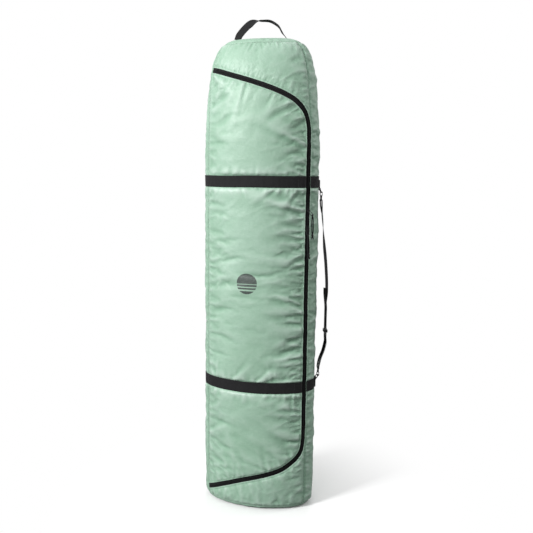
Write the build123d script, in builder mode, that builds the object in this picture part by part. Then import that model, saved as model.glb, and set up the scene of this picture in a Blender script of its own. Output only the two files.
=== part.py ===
from build123d import *
import math
import os

# Snowboard bag: a stuffed soft bag standing on its base, with a C-shaped zip round a
# front flap, two belts of webbing, a shoulder strap on swivel hooks and a haul handle.
# Millimetres, +Z up, front = -Y, right = +X, origin at the centre of the flat base.

os.makedirs("parts", exist_ok=True)

# ---------------------------------------------------------------- shared dimensions
HALF_W, HALF_D = 195.0, 106.0        # half axes of the stuffed cross-section
HEIGHT = 1600.0                      # base to top panel
STRAIGHT_LOW, STRAIGHT_HIGH = 45, 1240   # the section is constant between these heights
CLOTH = 2.0
SEAM_GAP = 0.4                       # air between neighbouring panels
BASE_SEAM_Z, TOP_SEAM_Z = 14.0, 1586.0
LEFT_FRAC, BACK_FRAC = 0.892, 0.82   # seam places as a share of the half width
HINGE_X = -LEFT_FRAC * HALF_W
HINGE_GAP = 2.5                      # the flap's cloth stops short of the left seam
CUT = 200                            # depth of a cut that clears the front or back half

ZIP_X = 169.0                        # straight run of the zip, at the front right corner
ZIP_LOW, ZIP_HIGH = 275.0, 1270.0
TAPE_SHOW = 7.5                      # half width of tape seen between the cloth edges
RIGHT_SEAM = TAPE_SHOW - 2.2         # right gusset's front edge, outside the zip line

UP = Vector(0, 0, 1)
FRONT = Plane.XZ                     # local x = +X, local y = +Z, faces the front

# Outline of the cloth's outer face: height, half width, half depth
OUTLINE = [
    (0, 172, 86), (4, 182, 94), (12, 189.5, 100.8), (25, 193.6, 104.6),
    (STRAIGHT_LOW, HALF_W, HALF_D), (STRAIGHT_HIGH, HALF_W, HALF_D),
    (1300, 193.2, 105), (1350, 189.8, 102), (1400, 186, 97.5), (1440, 182.6, 91.8),
    (1480, 177.3, 84), (1520, 168.6, 74), (1545, 160.5, 66), (1565, 150.5, 58),
    (1583, 135, 48.5), (1594, 116, 39.5), (1600, 97, 30),
]
# Left seam: height, share of the half width
LEFT_SEAM = [
    (0, 0.88), (45, LEFT_FRAC), (1300, LEFT_FRAC), (1400, 0.925),
    (1500, 0.96), (1550, 0.95), (1600, 0.92),
]
# Heights at which the seam curves are fixed
SEAM_HEIGHTS = [
    BASE_SEAM_Z - 3, 30, 60, 150, 500, 900, 1240, 1300, 1350, 1400, 1440, 1480, 1520,
    1550, 1570, TOP_SEAM_Z + 3,
]
# Zip centre line in front view, from top left round the right side to bottom left: x, z
ZIP_POINTS = [
    (-167, 1503), (-150, 1498.5), (-130, 1492.5), (-81, 1477), (-25, 1460), (30, 1442),
    (70, 1427), (100, 1413), (122, 1400), (139, 1385), (151.5, 1368), (160.5, 1347),
    (166, 1325), (168.6, 1298), (ZIP_X, ZIP_HIGH), (ZIP_X, 1180), (ZIP_X, 1060),
    (ZIP_X, 900), (ZIP_X, 740), (ZIP_X, 580), (ZIP_X, 420), (ZIP_X, 330), (ZIP_X, ZIP_LOW),
    (168.0, 246), (164.5, 221), (156.5, 201), (142, 183), (120, 164), (100, 151),
    (73.5, 140), (46, 131), (18, 122), (-39, 104), (-100, 79), (-135, 62), (-170, 43),
]


def export(name, part):
    part.label = name
    export_step(part, f"parts/{name}.step")


# ---------------------------------------------------------------- the stuffed form
def interpolate(table, z):
    """Values at height z from a table whose first column is the height."""
    for (z0, *low), (z1, *high) in zip(table, table[1:]):
        if z <= z1:
            share = max(0.0, (z - z0) / (z1 - z0))
            return [a + share * (b - a) for a, b in zip(low, high)]
    return table[-1][1:]


def half_width(z):
    return interpolate(OUTLINE, z)[0]


def offset_outline(offset):
    """The outline of a layer lying offset outside the cloth's outer face."""
    rows = []
    for z, half_w, half_d in OUTLINE:
        if z < STRAIGHT_LOW:
            z -= offset
        elif z > STRAIGHT_HIGH:
            z += offset
        rows.append((z, half_w + offset, half_d + offset))
    return rows


def form(offset):
    """The stuffed bag as one solid, offset outside the cloth's outer face."""
    rows = offset_outline(offset)
    low = [row for row in rows if row[0] <= STRAIGHT_LOW]
    high = [row for row in rows if row[0] >= STRAIGHT_HIGH]
    with BuildPart() as body:
        for end in (low, high):
            for z, half_w, half_d in end:
                with BuildSketch(Plane.XY.offset(z)):
                    Ellipse(half_w, half_d)
            loft(ruled=True)
        with BuildSketch(Plane.XY.offset(STRAIGHT_LOW)):
            Ellipse(low[-1][1], low[-1][2])
        extrude(amount=STRAIGHT_HIGH - STRAIGHT_LOW)
    return body.part


def layer(outer, inner):
    """A skin between two offsets of the outline."""
    with BuildPart() as skin:
        add(form(outer))
        add(form(inner), mode=Mode.SUBTRACT)
    return skin.part


def band(z0, z1, skin):
    """The part of a skin between two heights."""
    with BuildPart() as ring:
        add(skin)
        with BuildSketch(Plane.XY.offset(z0)):
            Rectangle(900, 900)
        extrude(amount=z1 - z0, mode=Mode.INTERSECT)
    return ring.part


# ---------------------------------------------------------------- seams and zip path
def left_seam(gap):
    return [(-interpolate(LEFT_SEAM, z)[0] * half_width(z) + gap, z) for z in SEAM_HEIGHTS]


def right_seam(gap):
    return [(ZIP_X / HALF_W * half_width(z) + gap, z) for z in SEAM_HEIGHTS]


def back_seam(side, gap):
    """Seam on the back, right (+1) or left (-1), moved outwards by gap."""
    return [(side * (BACK_FRAC * half_width(z) + gap), z) for z in SEAM_HEIGHTS]


def catmull_rom(before, start, end, after, t):
    return 0.5 * (2 * start + (end - before) * t
                  + (2 * before - 5 * start + 4 * end - after) * t * t
                  + (3 * start - before - 3 * end + after) * t ** 3)


def zip_path():
    """Zip line in front view: long steps off the straight run are halved on a smooth curve."""
    first, second = ZIP_POINTS[:2]
    before_last, last = ZIP_POINTS[-2:]
    points = [(2 * first[0] - second[0], 2 * first[1] - second[1]), *ZIP_POINTS,
              (2 * last[0] - before_last[0], 2 * last[1] - before_last[1])]
    path = []
    for i in range(1, len(points) - 2):
        start, end = points[i], points[i + 1]
        steps = 2 if math.dist(start, end) > 24 and abs(start[0] - end[0]) > 1 else 1
        for step in range(steps):
            path.append(tuple(catmull_rom(*values, step / steps)
                              for values in zip(*points[i - 1:i + 3])))
    path.append(last)
    return path


PATH = zip_path()


def front_y(x, z):
    """Y of the cloth's outer face on the front."""
    half_w, half_d = interpolate(OUTLINE, z)
    return -half_d * math.sqrt(max(1e-4, 1 - (x / half_w) ** 2))


def front_normal(x, z):
    step = 0.5
    slope_x = (front_y(x + step, z) - front_y(x - step, z)) / (2 * step)
    slope_z = (front_y(x, z + step) - front_y(x, z - step)) / (2 * step)
    return Vector(slope_x, -1.0, slope_z).normalized()


def offset_curve(distance):
    """Front-view points beside the zip line, measured on the cloth: body side +, flap side -."""
    points = []
    for i, (x, z) in enumerate(PATH):
        x0, z0 = PATH[max(0, i - 1)]
        x1, z1 = PATH[min(len(PATH) - 1, i + 1)]
        tangent = Vector(x1 - x0, front_y(x1, z1) - front_y(x0, z0), z1 - z0)
        to_flap = tangent.cross(front_normal(x, z)).normalized()
        points.append((x - to_flap.X * distance, z - to_flap.Z * distance))
    return points


def zip_band(skin, near, far, span=slice(1, -1)):
    """A strip of a skin between two distances from the zip line, front half only."""
    with BuildPart() as strip:
        add(skin)
        with BuildSketch(FRONT):
            with BuildLine():
                Polyline(*offset_curve(near)[span], *offset_curve(far)[span][::-1], close=True)
            make_face()
        extrude(amount=CUT, mode=Mode.INTERSECT)
    return strip.part


# ---------------------------------------------------------------- cloth panels
CLOTH_SKIN = layer(0, -CLOTH)
WALL = band(BASE_SEAM_Z, TOP_SEAM_Z, CLOTH_SKIN)
BODY_EDGE = offset_curve(TAPE_SHOW)


def path_index(height):
    """Index of the zip path point nearest a height."""
    return min(range(len(PATH)), key=lambda i: abs(PATH[i][1] - height))


def front_flap():
    edge = offset_curve(-TAPE_SHOW)
    beyond_left, beyond_right = -210, 260
    with BuildPart() as panel:
        add(WALL)
        with BuildSketch(FRONT):
            with BuildLine():
                Polyline(*edge, (beyond_left, edge[-1][1]), (beyond_left, edge[0][1]), close=True)
            make_face()
        extrude(amount=CUT, mode=Mode.INTERSECT)
        with BuildSketch(FRONT):
            with BuildLine():
                hinge = Spline(*left_seam(HINGE_GAP))
                Polyline(hinge @ 0, (beyond_right, (hinge @ 0).Y),
                         (beyond_right, (hinge @ 1).Y), hinge @ 1)
            make_face()
        extrude(amount=CUT, mode=Mode.INTERSECT)
    return panel.part


def front_end_panel(edge, beyond_x, beyond_z):
    """Front cloth between the zip and one end of the bag; the edge's last point faces beyond_x."""
    with BuildPart() as panel:
        add(WALL)
        with BuildSketch(FRONT):
            with BuildLine():
                Polyline(*edge, (beyond_x, edge[-1][1]), (beyond_x, beyond_z),
                         (-beyond_x, beyond_z), (-beyond_x, edge[0][1]), close=True)
            make_face()
        extrude(amount=CUT, mode=Mode.INTERSECT)
        with BuildSketch(FRONT):
            with BuildLine():
                left = Spline(*left_seam(SEAM_GAP))
                right = Spline(*right_seam(RIGHT_SEAM - SEAM_GAP))
                Line(left @ 0, right @ 0)
                Line(left @ 1, right @ 1)
            make_face()
        extrude(amount=CUT, mode=Mode.INTERSECT)
    return panel.part


def back_panel():
    with BuildPart() as panel:
        add(WALL)
        with BuildSketch(FRONT):
            with BuildLine():
                left = Spline(*back_seam(-1, 0))
                right = Spline(*back_seam(1, 0))
                Line(left @ 0, right @ 0)
                Line(left @ 1, right @ 1)
            make_face()
        extrude(amount=-CUT, mode=Mode.INTERSECT)
    return panel.part


def gusset(side):
    """Side wall, right (+1) or left (-1): the skin left beside the front and back seams."""
    front_edge = right_seam(RIGHT_SEAM) if side > 0 else left_seam(0)
    cuts = ((front_edge, CUT), (back_seam(side, SEAM_GAP), -CUT))
    beyond_x = -side * 400
    with BuildPart() as panel:
        add(WALL)
        for edge, depth in cuts:
            with BuildSketch(FRONT):
                with BuildLine():
                    seam = Spline(*edge)
                    Polyline(seam @ 0, (beyond_x, (seam @ 0).Y),
                             (beyond_x, (seam @ 1).Y), seam @ 1)
                make_face()
            extrude(amount=depth, mode=Mode.SUBTRACT)
    return panel.part


def back_seam_binding():
    """Two strips inside the cloth, along the back seams."""
    with BuildPart() as binding:
        add(band(BASE_SEAM_Z + 8, TOP_SEAM_Z - 8, layer(-CLOTH - 0.4, -CLOTH - 2.0)))
        with BuildSketch(FRONT):
            for side in (1, -1):
                with BuildLine():
                    inner = Spline(*back_seam(side, -6))
                    outer = Spline(*back_seam(side, 4))
                    Line(inner @ 0, outer @ 0)
                    Line(inner @ 1, outer @ 1)
                make_face()
        extrude(amount=-CUT, mode=Mode.INTERSECT)
    return binding.part


export("bottom_panel", band(-5, BASE_SEAM_Z - SEAM_GAP, CLOTH_SKIN))
export("top_panel", band(TOP_SEAM_Z + SEAM_GAP, HEIGHT + 10, CLOTH_SKIN))
export("front_flap", front_flap())
export("front_top_panel", front_end_panel(BODY_EDGE[:path_index(ZIP_HIGH) + 1], 230, 1620))
export("front_bottom_panel", front_end_panel(BODY_EDGE[path_index(ZIP_LOW):], -230, 0))
export("back_panel", back_panel())
export("right_gusset", gusset(1))
export("left_gusset", gusset(-1))
export("back_seam_binding", back_seam_binding())

# ---------------------------------------------------------------- zip tapes and chain
TAPE_IN, TAPE_HALF = 0.8, 13.0       # one tape's edges, from the zip line
TAPE_T = 1.0
TAPE_OFFSET = -CLOTH - 0.3           # tape's outer face, just inside the cloth
CHAIN_IN, CHAIN_OUT = 0.6, 3.2       # one row of coil, from the zip line
CHAIN_OFFSET = -CLOTH - 0.1          # inner face of the coil and the stops


def zip_end_stops():
    """Stops at both ends of the zip, beside the body-side row."""
    strip = zip_band(layer(0.6, CHAIN_OFFSET), CHAIN_OUT + 0.2, CHAIN_OUT + 2.6, slice(None))
    with BuildPart() as stops:
        for x, z in (PATH[1], PATH[-2]):
            with BuildPart(mode=Mode.PRIVATE) as stop:
                add(strip)
                with BuildSketch(FRONT):
                    with Locations((x + 3, z)):
                        Rectangle(9, 40)
                extrude(amount=CUT, mode=Mode.INTERSECT)
            add(stop.part)
    return stops.part


TAPE_SKIN = layer(TAPE_OFFSET, TAPE_OFFSET - TAPE_T)
CHAIN_SKIN = layer(-0.1, CHAIN_OFFSET)
for name, side in (("body", 1), ("flap", -1)):
    export(f"zip_tape_{name}", zip_band(TAPE_SKIN, side * TAPE_IN, side * TAPE_HALF))
    export(f"zip_chain_{name}", zip_band(CHAIN_SKIN, side * CHAIN_IN, side * CHAIN_OUT))
export("zip_end_stops", zip_end_stops())

# ---------------------------------------------------------------- sliders, pulls and cords
SLIDER_UP_Z, SLIDER_LOW_Z = 1046.0, 986.0
OUTER_PLATE = (0.5, 2.1)             # faces of the slider's plates, outside the cloth
INNER_PLATE = (-5.3, -3.8)
PIVOT_OUT = OUTER_PLATE[1] + 1.25    # pull's pivot, outside the cloth
PULL_LEN, PULL_R = 24.0, 0.85
CORD_LEN, CORD_R = 74.0, 1.15

# Frame of the zip's straight run
ZIP_Y = front_y(ZIP_X, 800)
NORMAL = Vector(ZIP_X / HALF_W ** 2, ZIP_Y / HALF_D ** 2, 0).normalized()   # out of the cloth
ALONG = Vector(-NORMAL.Y, NORMAL.X, 0)   # along the cloth, towards the right gusset


def mirrored(half):
    """A half outline followed by its mirror image across local x = 0."""
    return half + [(-x, y) for x, y in half[::-1]]


def wire_ring(plane, half, bend, radius):
    """Closed ring of round wire with bent corners, from one half of its outline."""
    with BuildPart() as ring:
        with BuildLine(plane):
            path = FilletPolyline(*mirrored(half), radius=bend, close=True)
        with BuildSketch(Plane(origin=path @ 0, z_dir=path % 0)):
            Circle(radius)
        sweep(path=path)
    return ring.part


def slider(z, nose):
    """Zip slider, nose up (+1) or down (-1)."""
    centre = Vector(ZIP_X, ZIP_Y, z)
    with BuildPart() as body:
        for inner, outer in (OUTER_PLATE, INNER_PLATE):
            with BuildSketch(Plane(origin=centre + NORMAL * inner, x_dir=ALONG, z_dir=NORMAL)):
                with BuildLine():
                    Polyline((-4.6, -7 * nose), (4.6, -7 * nose), (5.9, 1 * nose),
                             (4.2, 7 * nose), (-4.2, 7 * nose), (-5.9, 1 * nose),
                             (-4.6, -7 * nose))
                make_face()
            extrude(amount=outer - inner)
        upright = body.edges().filter_by(lambda e: abs(e.tangent_at(0.5).dot(NORMAL)) > 0.99)
        fillet(upright, radius=0.8)
        # thin neck between the two rows
        with BuildSketch(Plane(origin=(ZIP_X, ZIP_Y + 5.9, z + 3.6 * nose),
                               x_dir=(1, 0, 0), z_dir=(0, -1, 0))):
            Rectangle(0.6, 5.6)
        extrude(amount=7.0)
        # bail over the outer plate, open from side to side
        with BuildSketch(Plane(origin=centre + NORMAL * (OUTER_PLATE[1] - 0.3),
                               x_dir=NORMAL, z_dir=NORMAL.cross(UP))):
            with BuildLine():
                Polyline((0, -5), (4.0, -3.6), (4.0, 3.6), (0, 5), (0, -5))
            make_face()
            with BuildLine():
                Polyline((0, -3.2), (2.8, -2.5), (2.8, 2.5), (0, 3.2), (0, -3.2))
            make_face(mode=Mode.SUBTRACT)
        extrude(amount=1.3, both=True)
    return body.part


def pull_plane(z, tilt, yaw):
    """Origin at the pull's pivot; local x across it, local y towards its free end."""
    tilt, yaw = math.radians(tilt), math.radians(yaw)
    hanging = -UP * math.cos(yaw) + ALONG * math.sin(yaw)
    across = ALONG * math.cos(yaw) + UP * math.sin(yaw)
    towards_end = hanging * math.cos(tilt) + NORMAL * math.sin(tilt)
    pivot = Vector(ZIP_X, ZIP_Y, z) + NORMAL * PIVOT_OUT
    return Plane(origin=pivot, x_dir=across, z_dir=across.cross(towards_end))


def pull(plane):
    """Wire loop of the pull, with its cross bar in the bail."""
    half = [(3.8, 0), (4.6, PULL_LEN - 3), (2.8, PULL_LEN)]
    return wire_ring(plane, half, 1.1, PULL_R)


def cord_plane(pull_frame, lean):
    """Origin at the pull's bottom bend; local y hangs down and leans out."""
    lean = math.radians(lean)
    hanging = -UP * math.cos(lean) + NORMAL * math.sin(lean)
    origin = pull_frame.origin + pull_frame.y_dir * PULL_LEN
    return Plane(origin=origin, x_dir=ALONG, z_dir=ALONG.cross(hanging))


def cord(plane):
    """Cord loop tied below the pull: two strands, a knot and two tails."""

    def at(across, down):
        return plane.origin + plane.x_dir * across + plane.y_dir * down

    with BuildPart() as loop:
        strand = [(2.0, 3.2), (2.8, 18), (2.9, 44), (2.0, CORD_LEN * 0.88)]
        add(wire_ring(plane, strand, 1.5, CORD_R))
        # turn of the cord round the pull's wire
        with Locations(Location(Plane(origin=plane.origin, z_dir=plane.x_dir))):
            Torus(2.3, CORD_R)
        # knot
        with BuildSketch(Plane(origin=at(0, CORD_LEN * 0.84), x_dir=plane.x_dir,
                               z_dir=plane.y_dir)):
            RectangleRounded(6.6, 5.6, 2.2)
        extrude(amount=6.2)
        for side in (1, -1):
            with BuildLine():
                tail = Line(at(1.3 * side, CORD_LEN * 0.9), at(3.2 * side, CORD_LEN + 4))
            with BuildSketch(Plane(origin=tail @ 0, z_dir=tail % 0)):
                Circle(CORD_R)
            sweep(path=tail)
    return loop.part


# name, height, nose direction, then in degrees: pull's tilt, pull's yaw, cord's lean
for name, z, nose, tilt, yaw, lean in (("upper", SLIDER_UP_Z, 1, 42, 20, 1.5),
                                       ("lower", SLIDER_LOW_Z, -1, 14, -8, 5)):
    frame = pull_plane(z, tilt, yaw)
    export(f"{name}_slider", slider(z, nose))
    export(f"{name}_pull", pull(frame))
    export(f"{name}_pull_cord", cord(cord_plane(frame, lean)))

# ---------------------------------------------------------------- belts
BELT_W, BELT_T = 38.0, 1.4
BELT_GAP = 0.15                      # air between belt and cloth
BELT_UP_Z, BELT_LOW_Z = 1137.0, 442.0
BELT_SKIN = layer(BELT_GAP + BELT_T, BELT_GAP)


def belt(z, left, right, mode):
    """Ring of webbing; its front between left and right is kept alone or cut away."""
    ring = band(z - BELT_W / 2, z + BELT_W / 2, BELT_SKIN)
    with BuildPart() as webbing:
        add(ring)
        with BuildSketch(FRONT):
            with Locations(((left + right) / 2, z)):
                Rectangle(right - left, 80)
        extrude(amount=CUT, mode=mode)
    return webbing.part


for name, z in (("upper", BELT_UP_Z), ("lower", BELT_LOW_Z)):
    export(f"{name}_belt_front", belt(z, HINGE_X + 4, ZIP_X - 6.6, Mode.INTERSECT))
    export(f"{name}_belt_rear", belt(z, HINGE_X - 4.5, ZIP_X + 7.4, Mode.SUBTRACT))

# ---------------------------------------------------------------- strap hardware, right side
# Throughout, down is +1 for the upper set, whose hook hangs below its ring, and -1 for
# the lower set, which is turned the other way up.
SIDE_Y = 15.0
SIDE_X = HALF_W * math.sqrt(1 - (SIDE_Y / HALF_D) ** 2)
SIDE_OUT = Vector(SIDE_X / HALF_W ** 2, SIDE_Y / HALF_D ** 2, 0).normalized()
SIDE_ORIGIN = Vector(SIDE_X, SIDE_Y, 0)
# local x = outwards, local y = up, faces the front
SIDE = Plane(origin=SIDE_ORIGIN, x_dir=SIDE_OUT, z_dir=SIDE_OUT.cross(UP))

RING_UP_Z, RING_LOW_Z = 1113.0, 457.0
WIRE_R = 1.5                         # D-ring wire
RING_OUT = 5.0                       # ring's bar, outside the cloth
RING_DROP = 12.0                     # bar to bow
RING_HALF = 14.0
RING_TILT = {1: 27.3, -1: 45.0}      # degrees that each ring leans out of the cloth
TAB_LEN, TAB_W = 32, 22

HOOK_IN, HOOK_OUT = 2.4, 4.6         # radii of the hook's round end
HOOK_LONG = 6.5                      # straight length of the hook
HOOK_W = 5.6
BARREL_R = 3.7
BARREL_START = HOOK_LONG + HOOK_IN + 0.6   # barrel's ends, from the hook's centre
BARREL_END = 16.0
POST_R = 1.5
KNUCKLE = (3.5, -7.6)                # gate's pin in the hook's frame
PIN_HOLE_R, PIN_R = 0.8, 0.72
GATE_HALF, GATE_SLOT_HALF = 1.5, 1.75
GATE_TOP = -1.5
EYE_HALF, EYE_R = 16.0, 1.6
EYE_BAR = 25.0                       # hook's centre to the eye's bar


def side_point(out, z):
    return SIDE_ORIGIN + SIDE_OUT * out + UP * z


def ring_direction(down):
    """Bar to bow: (out, up)."""
    tilt = math.radians(RING_TILT[down])
    return math.sin(tilt), -down * math.cos(tilt)


def bow_at(ring_z, down):
    """Centre of the ring's bow in the side plane: (out, height)."""
    out, rise = ring_direction(down)
    return RING_OUT + RING_DROP * out, ring_z + RING_DROP * rise


# Both swivels turn on the line through the two bows
BOW_UP, BOW_LOW = bow_at(RING_UP_Z, 1), bow_at(RING_LOW_Z, -1)
BOW_SPAN = math.dist(BOW_UP, BOW_LOW)
AXIS_OUT = (BOW_UP[0] - BOW_LOW[0]) / BOW_SPAN
AXIS_RISE = (BOW_UP[1] - BOW_LOW[1]) / BOW_SPAN


def hook_plane(ring_z, down):
    """Origin at the centre of the hook's round end; local x outwards, y towards the ring."""
    out, z = bow_at(ring_z, down)
    to_ring = (SIDE_OUT * AXIS_OUT + UP * AXIS_RISE) * down
    outwards = SIDE_OUT * AXIS_RISE - UP * AXIS_OUT
    play = HOOK_IN - WIRE_R - 0.15
    return Plane(origin=side_point(out, z) - to_ring * play, x_dir=outwards,
                 z_dir=outwards.cross(to_ring))


def ring_tab(ring_z, down):
    """Folded webbing on the belt, with a loop round the ring's bar."""
    with BuildPart() as tab:
        with BuildSketch(SIDE):
            with Locations((RING_OUT, ring_z)):
                Circle(3.1)
            with Locations((3.1, ring_z + down * TAB_LEN / 2)):
                Rectangle(2.4, TAB_LEN)
            with Locations((RING_OUT, ring_z)):
                Circle(1.8, mode=Mode.SUBTRACT)
        extrude(amount=TAB_W / 2, both=True)
    return tab.part


def d_ring(ring_z, down):
    """D-ring: straight bar in the tab, bow through the hook."""
    out, rise = ring_direction(down)
    to_bow = SIDE_OUT * out + UP * rise
    plane = Plane(origin=side_point(RING_OUT, ring_z), x_dir=SIDE.z_dir,
                  z_dir=SIDE.z_dir.cross(to_bow))
    half = [(RING_HALF, 0), (RING_HALF - 0.5, 5.5), (6.5, RING_DROP)]
    return wire_ring(plane, half, 2.6, WIRE_R)


def hook_body(ring_z, down):
    plane = hook_plane(ring_z, down)
    with BuildPart() as hook:
        with BuildSketch(plane):
            with Locations((0, -HOOK_LONG / 2)):
                SlotOverall(HOOK_LONG + 2 * HOOK_OUT, 2 * HOOK_OUT, rotation=90)
                SlotOverall(HOOK_LONG + 2 * HOOK_IN, 2 * HOOK_IN, rotation=90,
                            mode=Mode.SUBTRACT)
        extrude(amount=HOOK_W / 2, both=True)
        # barrel, and the bore that the swivel post turns in
        with BuildSketch(Plane(origin=plane.origin - plane.y_dir * BARREL_START,
                               x_dir=plane.x_dir, z_dir=-plane.y_dir)):
            Circle(BARREL_R)
        extrude(amount=BARREL_END - BARREL_START)
        with BuildSketch(Plane(origin=plane.origin - plane.y_dir * BARREL_END,
                               x_dir=plane.x_dir, z_dir=plane.y_dir)):
            Circle(POST_R + 0.25)
        extrude(amount=4.6, mode=Mode.SUBTRACT)
        # mouth on the outward side, closed by the gate
        with BuildSketch(plane):
            with Locations((4.0, -3.7)):
                Rectangle(4.4, 5.0)
        extrude(amount=HOOK_W, both=True, mode=Mode.SUBTRACT)
        # slot for the gate's knuckle
        with BuildSketch(plane):
            with Locations(KNUCKLE):
                Circle(2.2)
        extrude(amount=GATE_SLOT_HALF, both=True, mode=Mode.SUBTRACT)
        with BuildSketch(plane):
            with Locations((KNUCKLE[0], -6.4)):
                Rectangle(4.4, 2.6)
        extrude(amount=GATE_SLOT_HALF, both=True, mode=Mode.SUBTRACT)
        # pin hole
        with BuildSketch(plane):
            with Locations(KNUCKLE):
                Circle(PIN_HOLE_R)
        extrude(amount=HOOK_W, both=True, mode=Mode.SUBTRACT)
    return hook.part


def hook_gate(ring_z, down):
    with BuildPart() as gate:
        with BuildSketch(hook_plane(ring_z, down)):
            with Locations((KNUCKLE[0], (KNUCKLE[1] + GATE_TOP) / 2)):
                Rectangle(1.8, GATE_TOP - KNUCKLE[1])
            with Locations(KNUCKLE):
                Circle(1.5)
            with Locations(KNUCKLE):
                Circle(PIN_HOLE_R, mode=Mode.SUBTRACT)
        extrude(amount=GATE_HALF, both=True)
    return gate.part


def hook_gate_pin(ring_z, down):
    with BuildPart() as pin:
        with BuildSketch(hook_plane(ring_z, down)):
            with Locations(KNUCKLE):
                Circle(PIN_R)
        extrude(amount=HOOK_W / 2 + 0.2, both=True)
    return pin.part


def swivel_eye(ring_z, down):
    """Swivel post, collar and the wire loop that the strap runs through."""
    plane = hook_plane(ring_z, down)
    away = -plane.y_dir
    # start from the hook's centre, radius, length
    post = (BARREL_END - 4.0, POST_R, 5.0)
    collar = (BARREL_END + 0.3, 2.8, 2.4)
    with BuildPart() as eye:
        for start, radius, length in (post, collar):
            with BuildSketch(Plane(origin=plane.origin + away * start,
                                   x_dir=plane.x_dir, z_dir=away)):
                Circle(radius)
            extrude(amount=length)
        loop_plane = Plane(origin=plane.origin, x_dir=SIDE.z_dir, z_dir=SIDE.z_dir.cross(away))
        half = [(EYE_HALF - 3, BARREL_END + 2.2), (EYE_HALF, EYE_BAR)]
        add(wire_ring(loop_plane, half, 1.9, EYE_R))
    return eye.part


def eye_bar(ring_z, down):
    """Centre of the eye's bar in the side plane: (out, height)."""
    plane = hook_plane(ring_z, down)
    bar = plane.origin - plane.y_dir * EYE_BAR - SIDE_ORIGIN
    return bar.dot(SIDE_OUT), bar.Z


for name, ring_z, down in (("upper", RING_UP_Z, 1), ("lower", RING_LOW_Z, -1)):
    for make in (ring_tab, d_ring, hook_body, hook_gate, hook_gate_pin, swivel_eye):
        export(f"{name}_{make.__name__}", make(ring_z, down))

# ---------------------------------------------------------------- shoulder strap
STRAP_W, STRAP_T = 25.0, 1.6
EYE_CLEAR_R = 1.85                   # inside of the strap's turn round an eye's bar
TURN = 2.6                           # eye's bar to the middle of the webbing
RUN_OUT, RETURN_OUT = 38.0, 33.0     # the two runs of webbing at the slide
SLIDE_Z, SLIDE_H = 626.0, 9


def shoulder_strap():
    """Outer run from eye to eye, with both ends turned round the eyes and doubled back."""
    up_out, up_z = eye_bar(RING_UP_Z, 1)
    low_out, low_z = eye_bar(RING_LOW_Z, -1)
    with BuildPart() as strap:
        with BuildSketch(SIDE):
            # outer run
            with BuildLine():
                upper_run = Spline(
                    (up_out + TURN, up_z - 0.5), (14.4, up_z - 18), (15.7, 1034),
                    (18.6, 1003), (21.6, 962), (25.6, 921), (30.3, 880), (33.9, 839),
                    (36.8, 791), (RUN_OUT, 740), (RUN_OUT, 700),
                    tangents=((0, -1), (0, -1)))
                straight = Line(upper_run @ 1, (RUN_OUT, 604))
                Spline(straight @ 1, (36.6, 584), (31.4, 560), (24.2, 535),
                       (low_out + 5.0, low_z + 18), (low_out + TURN, low_z + 0.5),
                       tangents=((0, -1), (0, -1)))
            trace(line_width=STRAP_T)
            # upper end, back behind the outer run
            with BuildLine():
                Spline((up_out - TURN, up_z - 0.5), (9.4, up_z - 18), (14.0, 1034))
            trace(line_width=STRAP_T)
            # lower end, up behind the outer run and through the slide
            with BuildLine():
                lower_return = Spline(
                    (low_out - TURN, low_z + 0.5), (low_out - 0.6, low_z + 18),
                    (18.8, 537), (26.2, 562.5), (31.6, 586), (RETURN_OUT, 604),
                    tangents=((0, 1), (0, 1)))
                Line(lower_return @ 1, (RETURN_OUT, 775))
            trace(line_width=STRAP_T)
            # turns round the eyes
            for out, z in ((up_out, up_z), (low_out, low_z)):
                with Locations((out, z)):
                    Circle(EYE_CLEAR_R + STRAP_T)
                with Locations((out, z)):
                    Circle(EYE_CLEAR_R, mode=Mode.SUBTRACT)
        extrude(amount=STRAP_W / 2, both=True)
    return strap.part


def strap_slider():
    """Two-slot slide: bars before, between and behind the two runs of webbing."""
    origin = side_point((RUN_OUT + RETURN_OUT) / 2, SLIDE_Z - SLIDE_H / 2)
    slot = (RUN_OUT - RETURN_OUT) / 2
    with BuildPart() as slide:
        with BuildSketch(Plane(origin=origin, x_dir=SIDE.z_dir, z_dir=(0, 0, 1))):
            RectangleRounded(32.5, 13.4, 2.2)
            with Locations((0, slot), (0, -slot)):
                Rectangle(26.4, 3.2, mode=Mode.SUBTRACT)
        extrude(amount=SLIDE_H)
        fillet(slide.edges().filter_by(GeomType.LINE).group_by(Axis.Z)[-1], radius=0.4)
    return slide.part


export("shoulder_strap", shoulder_strap())
export("strap_slider", strap_slider())

# ---------------------------------------------------------------- haul handle
HANDLE_T, HANDLE_HALF = 2.4, 12.5
# Arch of the handle in front view: x, z
HANDLE_ARCH = [
    (-88, 1603.6), (-75, 1623), (-49, 1648.5), (-23, 1659.5),
    (22, 1660), (50, 1643), (65, 1622), (79, 1603.6),
]
# Rear half of the handle's outline seen from the side: y, z
HANDLE_PINCH = [
    (1.4, 1600), (1.5, 1604.5), (4.2, 1611), (HANDLE_HALF, 1626), (HANDLE_HALF, 1680),
]
ANCHOR_XS = (-77.4, 72.0)
ANCHOR_SIZE, ANCHOR_T = 24, 1.2


def haul_handle():
    with BuildPart() as handle:
        with BuildSketch(FRONT):
            with BuildLine():
                Spline(*HANDLE_ARCH)
            trace(line_width=HANDLE_T)
        extrude(amount=HANDLE_HALF, both=True)
        # the ends are pinched to a narrow neck where they fold
        with BuildSketch(Plane.YZ):
            with BuildLine():
                Polyline(*mirrored(HANDLE_PINCH), close=True)
            make_face()
        extrude(amount=200, both=True, mode=Mode.INTERSECT)
    return handle.part


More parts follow.
